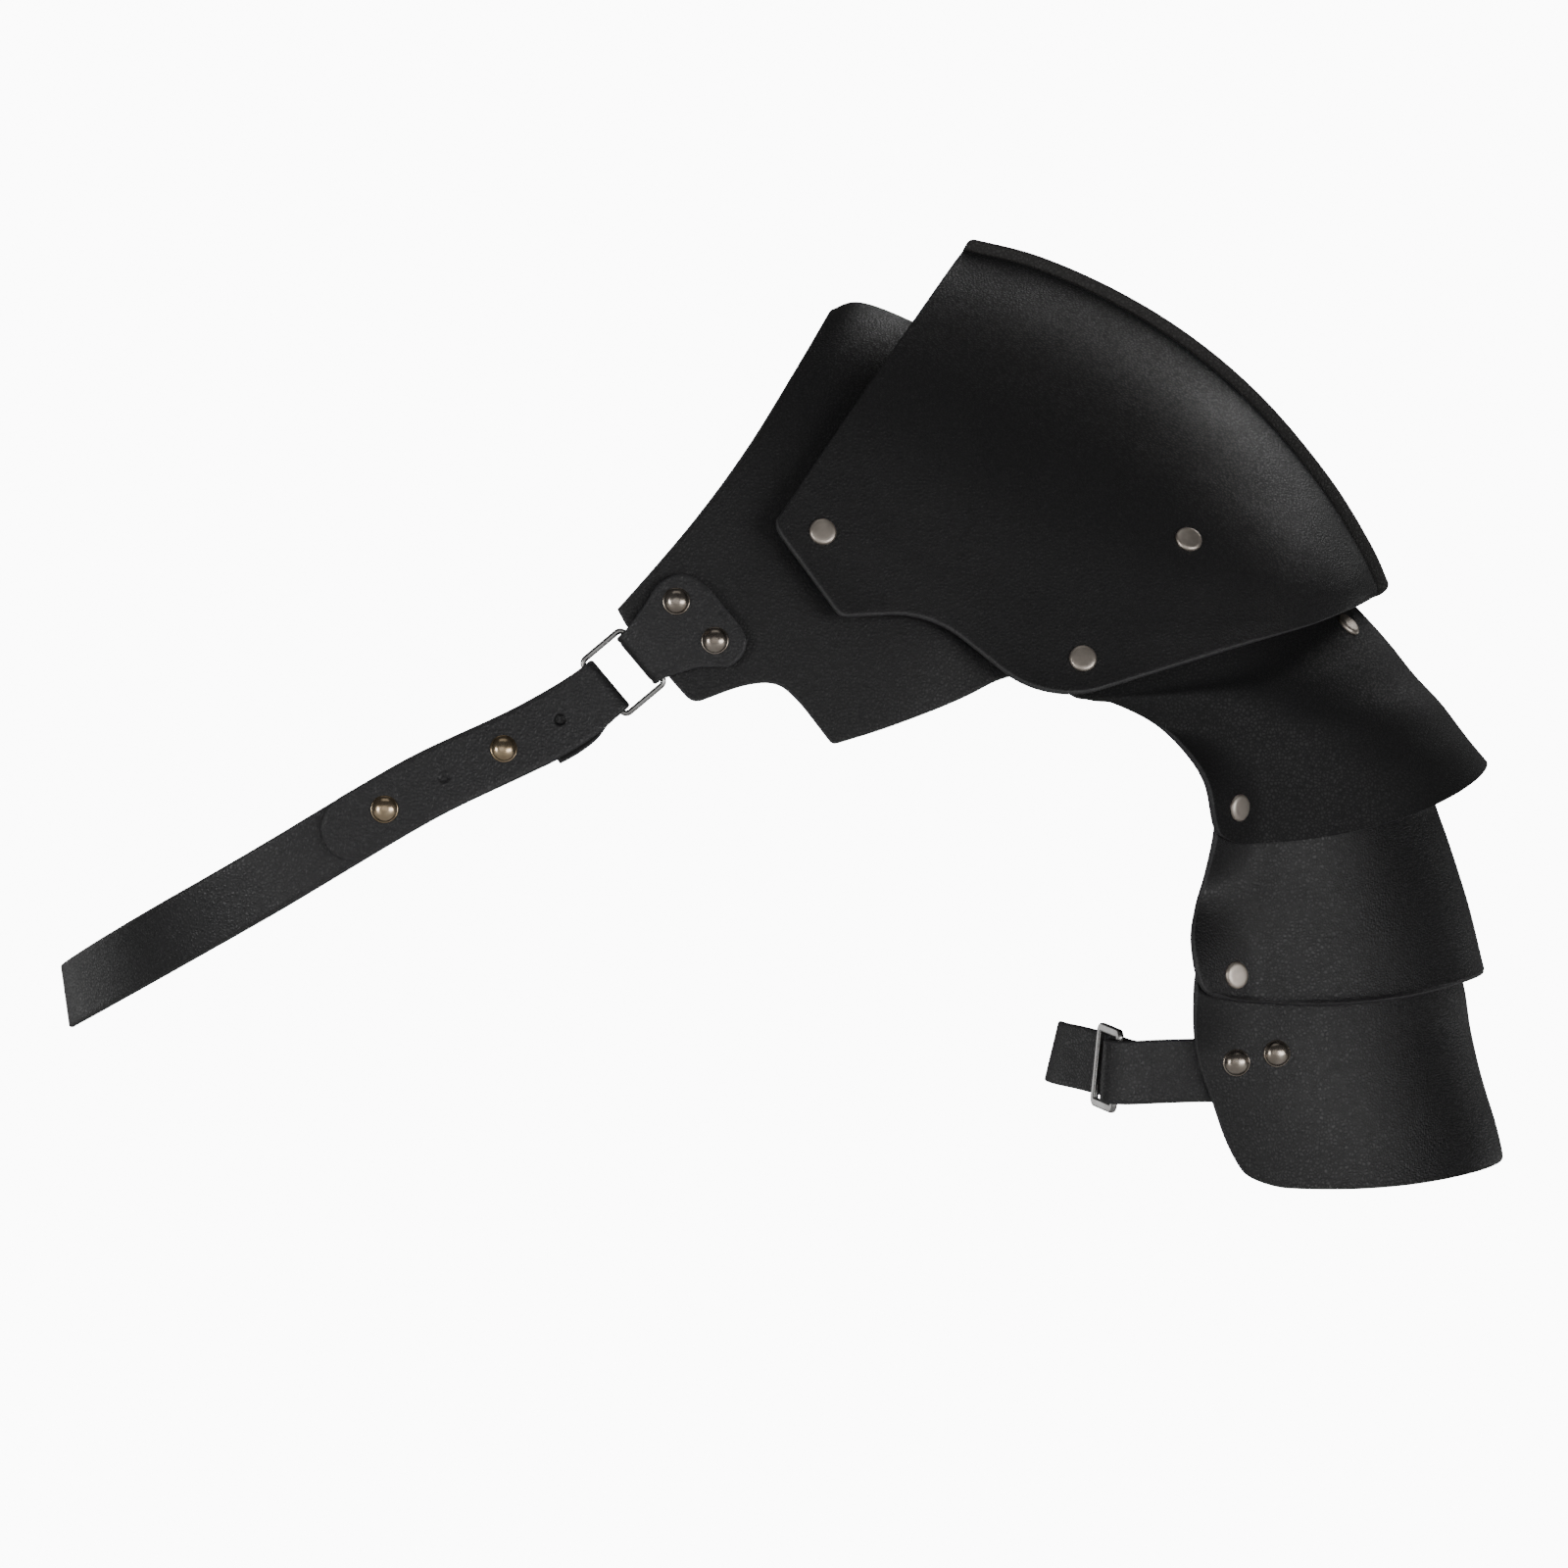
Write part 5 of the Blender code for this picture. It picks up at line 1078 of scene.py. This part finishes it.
for number, step in ((1, 1), (2, 3)):
    place, _, _, outer = routeFrame(chestRoute, chestStrap["firstHole"] + chestStrap["holePitch"] * step)
    addRivet("chestStrapStud%d" % number, "chest_strap_stud_%d" % number, (place + outer * strapLayer)[0], outer[0],
             studMetal, chestGrid, strapWall, strapWall)
place, _, _, outer = routeFrame(chestRoute, chestRoute["length"] - chestStrap["rearFold"] * 0.7)
addRivet("chestStrapStudRear", "chest_strap_stud_rear", place[0], outer[0], studMetal, chestGrid,
         rivet["rearStudWall"], strapWall)
print("rivets made")


# floor, lights and camera

stageLook = {"floorDrop": 0.55, "floorSize": 14.0, "backdrop": 11.0, "surround": 0.05, "sensor": 36.0,
             "distance": 3.0, "viewWidth": 0.464}
mesh = bpy.data.meshes.new("floor")
reach = stageLook["floorSize"] / 2
corners = [(-reach, -reach, 0), (reach, -reach, 0), (reach, reach, 0), (-reach, reach, 0)]
mesh.from_pydata(corners, [], [(0, 1, 2, 3)])
floor = bpy.data.objects.new("floor", mesh)
floor.location.z = -stageLook["floorDrop"]
bpy.context.scene.collection.objects.link(floor)
paper, tree, shader, where = newMaterial("palePaper")
fibre = noiseNode(tree, where, 30.0, 3.0)
tint = mixColour(tree, fibre.outputs["Fac"], (0.90, 0.90, 0.90), (0.94, 0.94, 0.94))
tree.links.new(tint, shader.inputs["Base Color"])
shader.inputs["Roughness"].default_value = 0.9
shader.inputs["Emission Color"].default_value = (1, 1, 1, 1)
seen = tree.nodes.new("ShaderNodeLightPath")
glow = mathNode(tree, "MULTIPLY", seen.outputs["Is Camera Ray"], stageLook["backdrop"])
tree.links.new(glow, shader.inputs["Emission Strength"])
mesh.materials.append(paper)

world = bpy.data.worlds.new("studio")
world.use_nodes = True
tree = world.node_tree
background = tree.nodes["Background"]
seen = tree.nodes.new("ShaderNodeLightPath")
bright = tree.nodes.new("ShaderNodeMapRange")
bright.inputs["To Min"].default_value = stageLook["surround"]
bright.inputs["To Max"].default_value = stageLook["backdrop"]
tree.links.new(seen.outputs["Is Camera Ray"], bright.inputs["Value"])
tree.links.new(bright.outputs["Result"], background.inputs["Strength"])
background.inputs["Color"].default_value = (1, 1, 1, 1)
bpy.context.scene.world = world

middle = Vector((-rear["inward"], 0.0, -rear["down"]))


def addSoftbox(name, place, width, height, power):
    light = bpy.data.lights.new(name, "AREA")
    light.shape = "RECTANGLE"
    light.size, light.size_y = width, height
    light.energy = power
    item = bpy.data.objects.new(name, light)
    item.location = place
    item.rotation_euler = (Vector(place) - middle).to_track_quat("Z", "Y").to_euler()
    item.visible_camera = False
    bpy.context.scene.collection.objects.link(item)


softboxes = [  # name, place, width, height, watts
    ("highBehindRight", (0.78, 1.23, 1.05), 1.0, 0.55, 5.8),
    ("overheadCard", (0.0, -0.5, 1.8), 1.4, 0.8, 1.6),
    ("rightFront", (1.25, -1.37, -0.10), 1.2, 0.5, 11.5),
    ("leftFront", (-1.34, -1.41, -0.05), 0.4, 0.6, 9.0),
    ("frontCard", (0.0, -3.6, 0.2), 2.4, 2.0, 10.0),
    ("rightBehind", (1.40, 1.30, -0.30), 0.8, 0.5, 1.2),
    ("leftBehind", (-1.53, 1.22, -0.10), 0.8, 0.8, 2.2)]
for entry in softboxes:
    addSoftbox(*entry)

lens = bpy.data.cameras.new("camera")
lens.sensor_width = stageLook["sensor"]
lens.lens = stageLook["sensor"] * stageLook["distance"] / stageLook["viewWidth"]
camera = bpy.data.objects.new("camera", lens)
camera.location = (middle.x, -stageLook["distance"], middle.z)
camera.rotation_euler = (math.radians(90), 0, 0)
bpy.context.scene.collection.objects.link(camera)
bpy.context.scene.camera = camera
print("stage made")
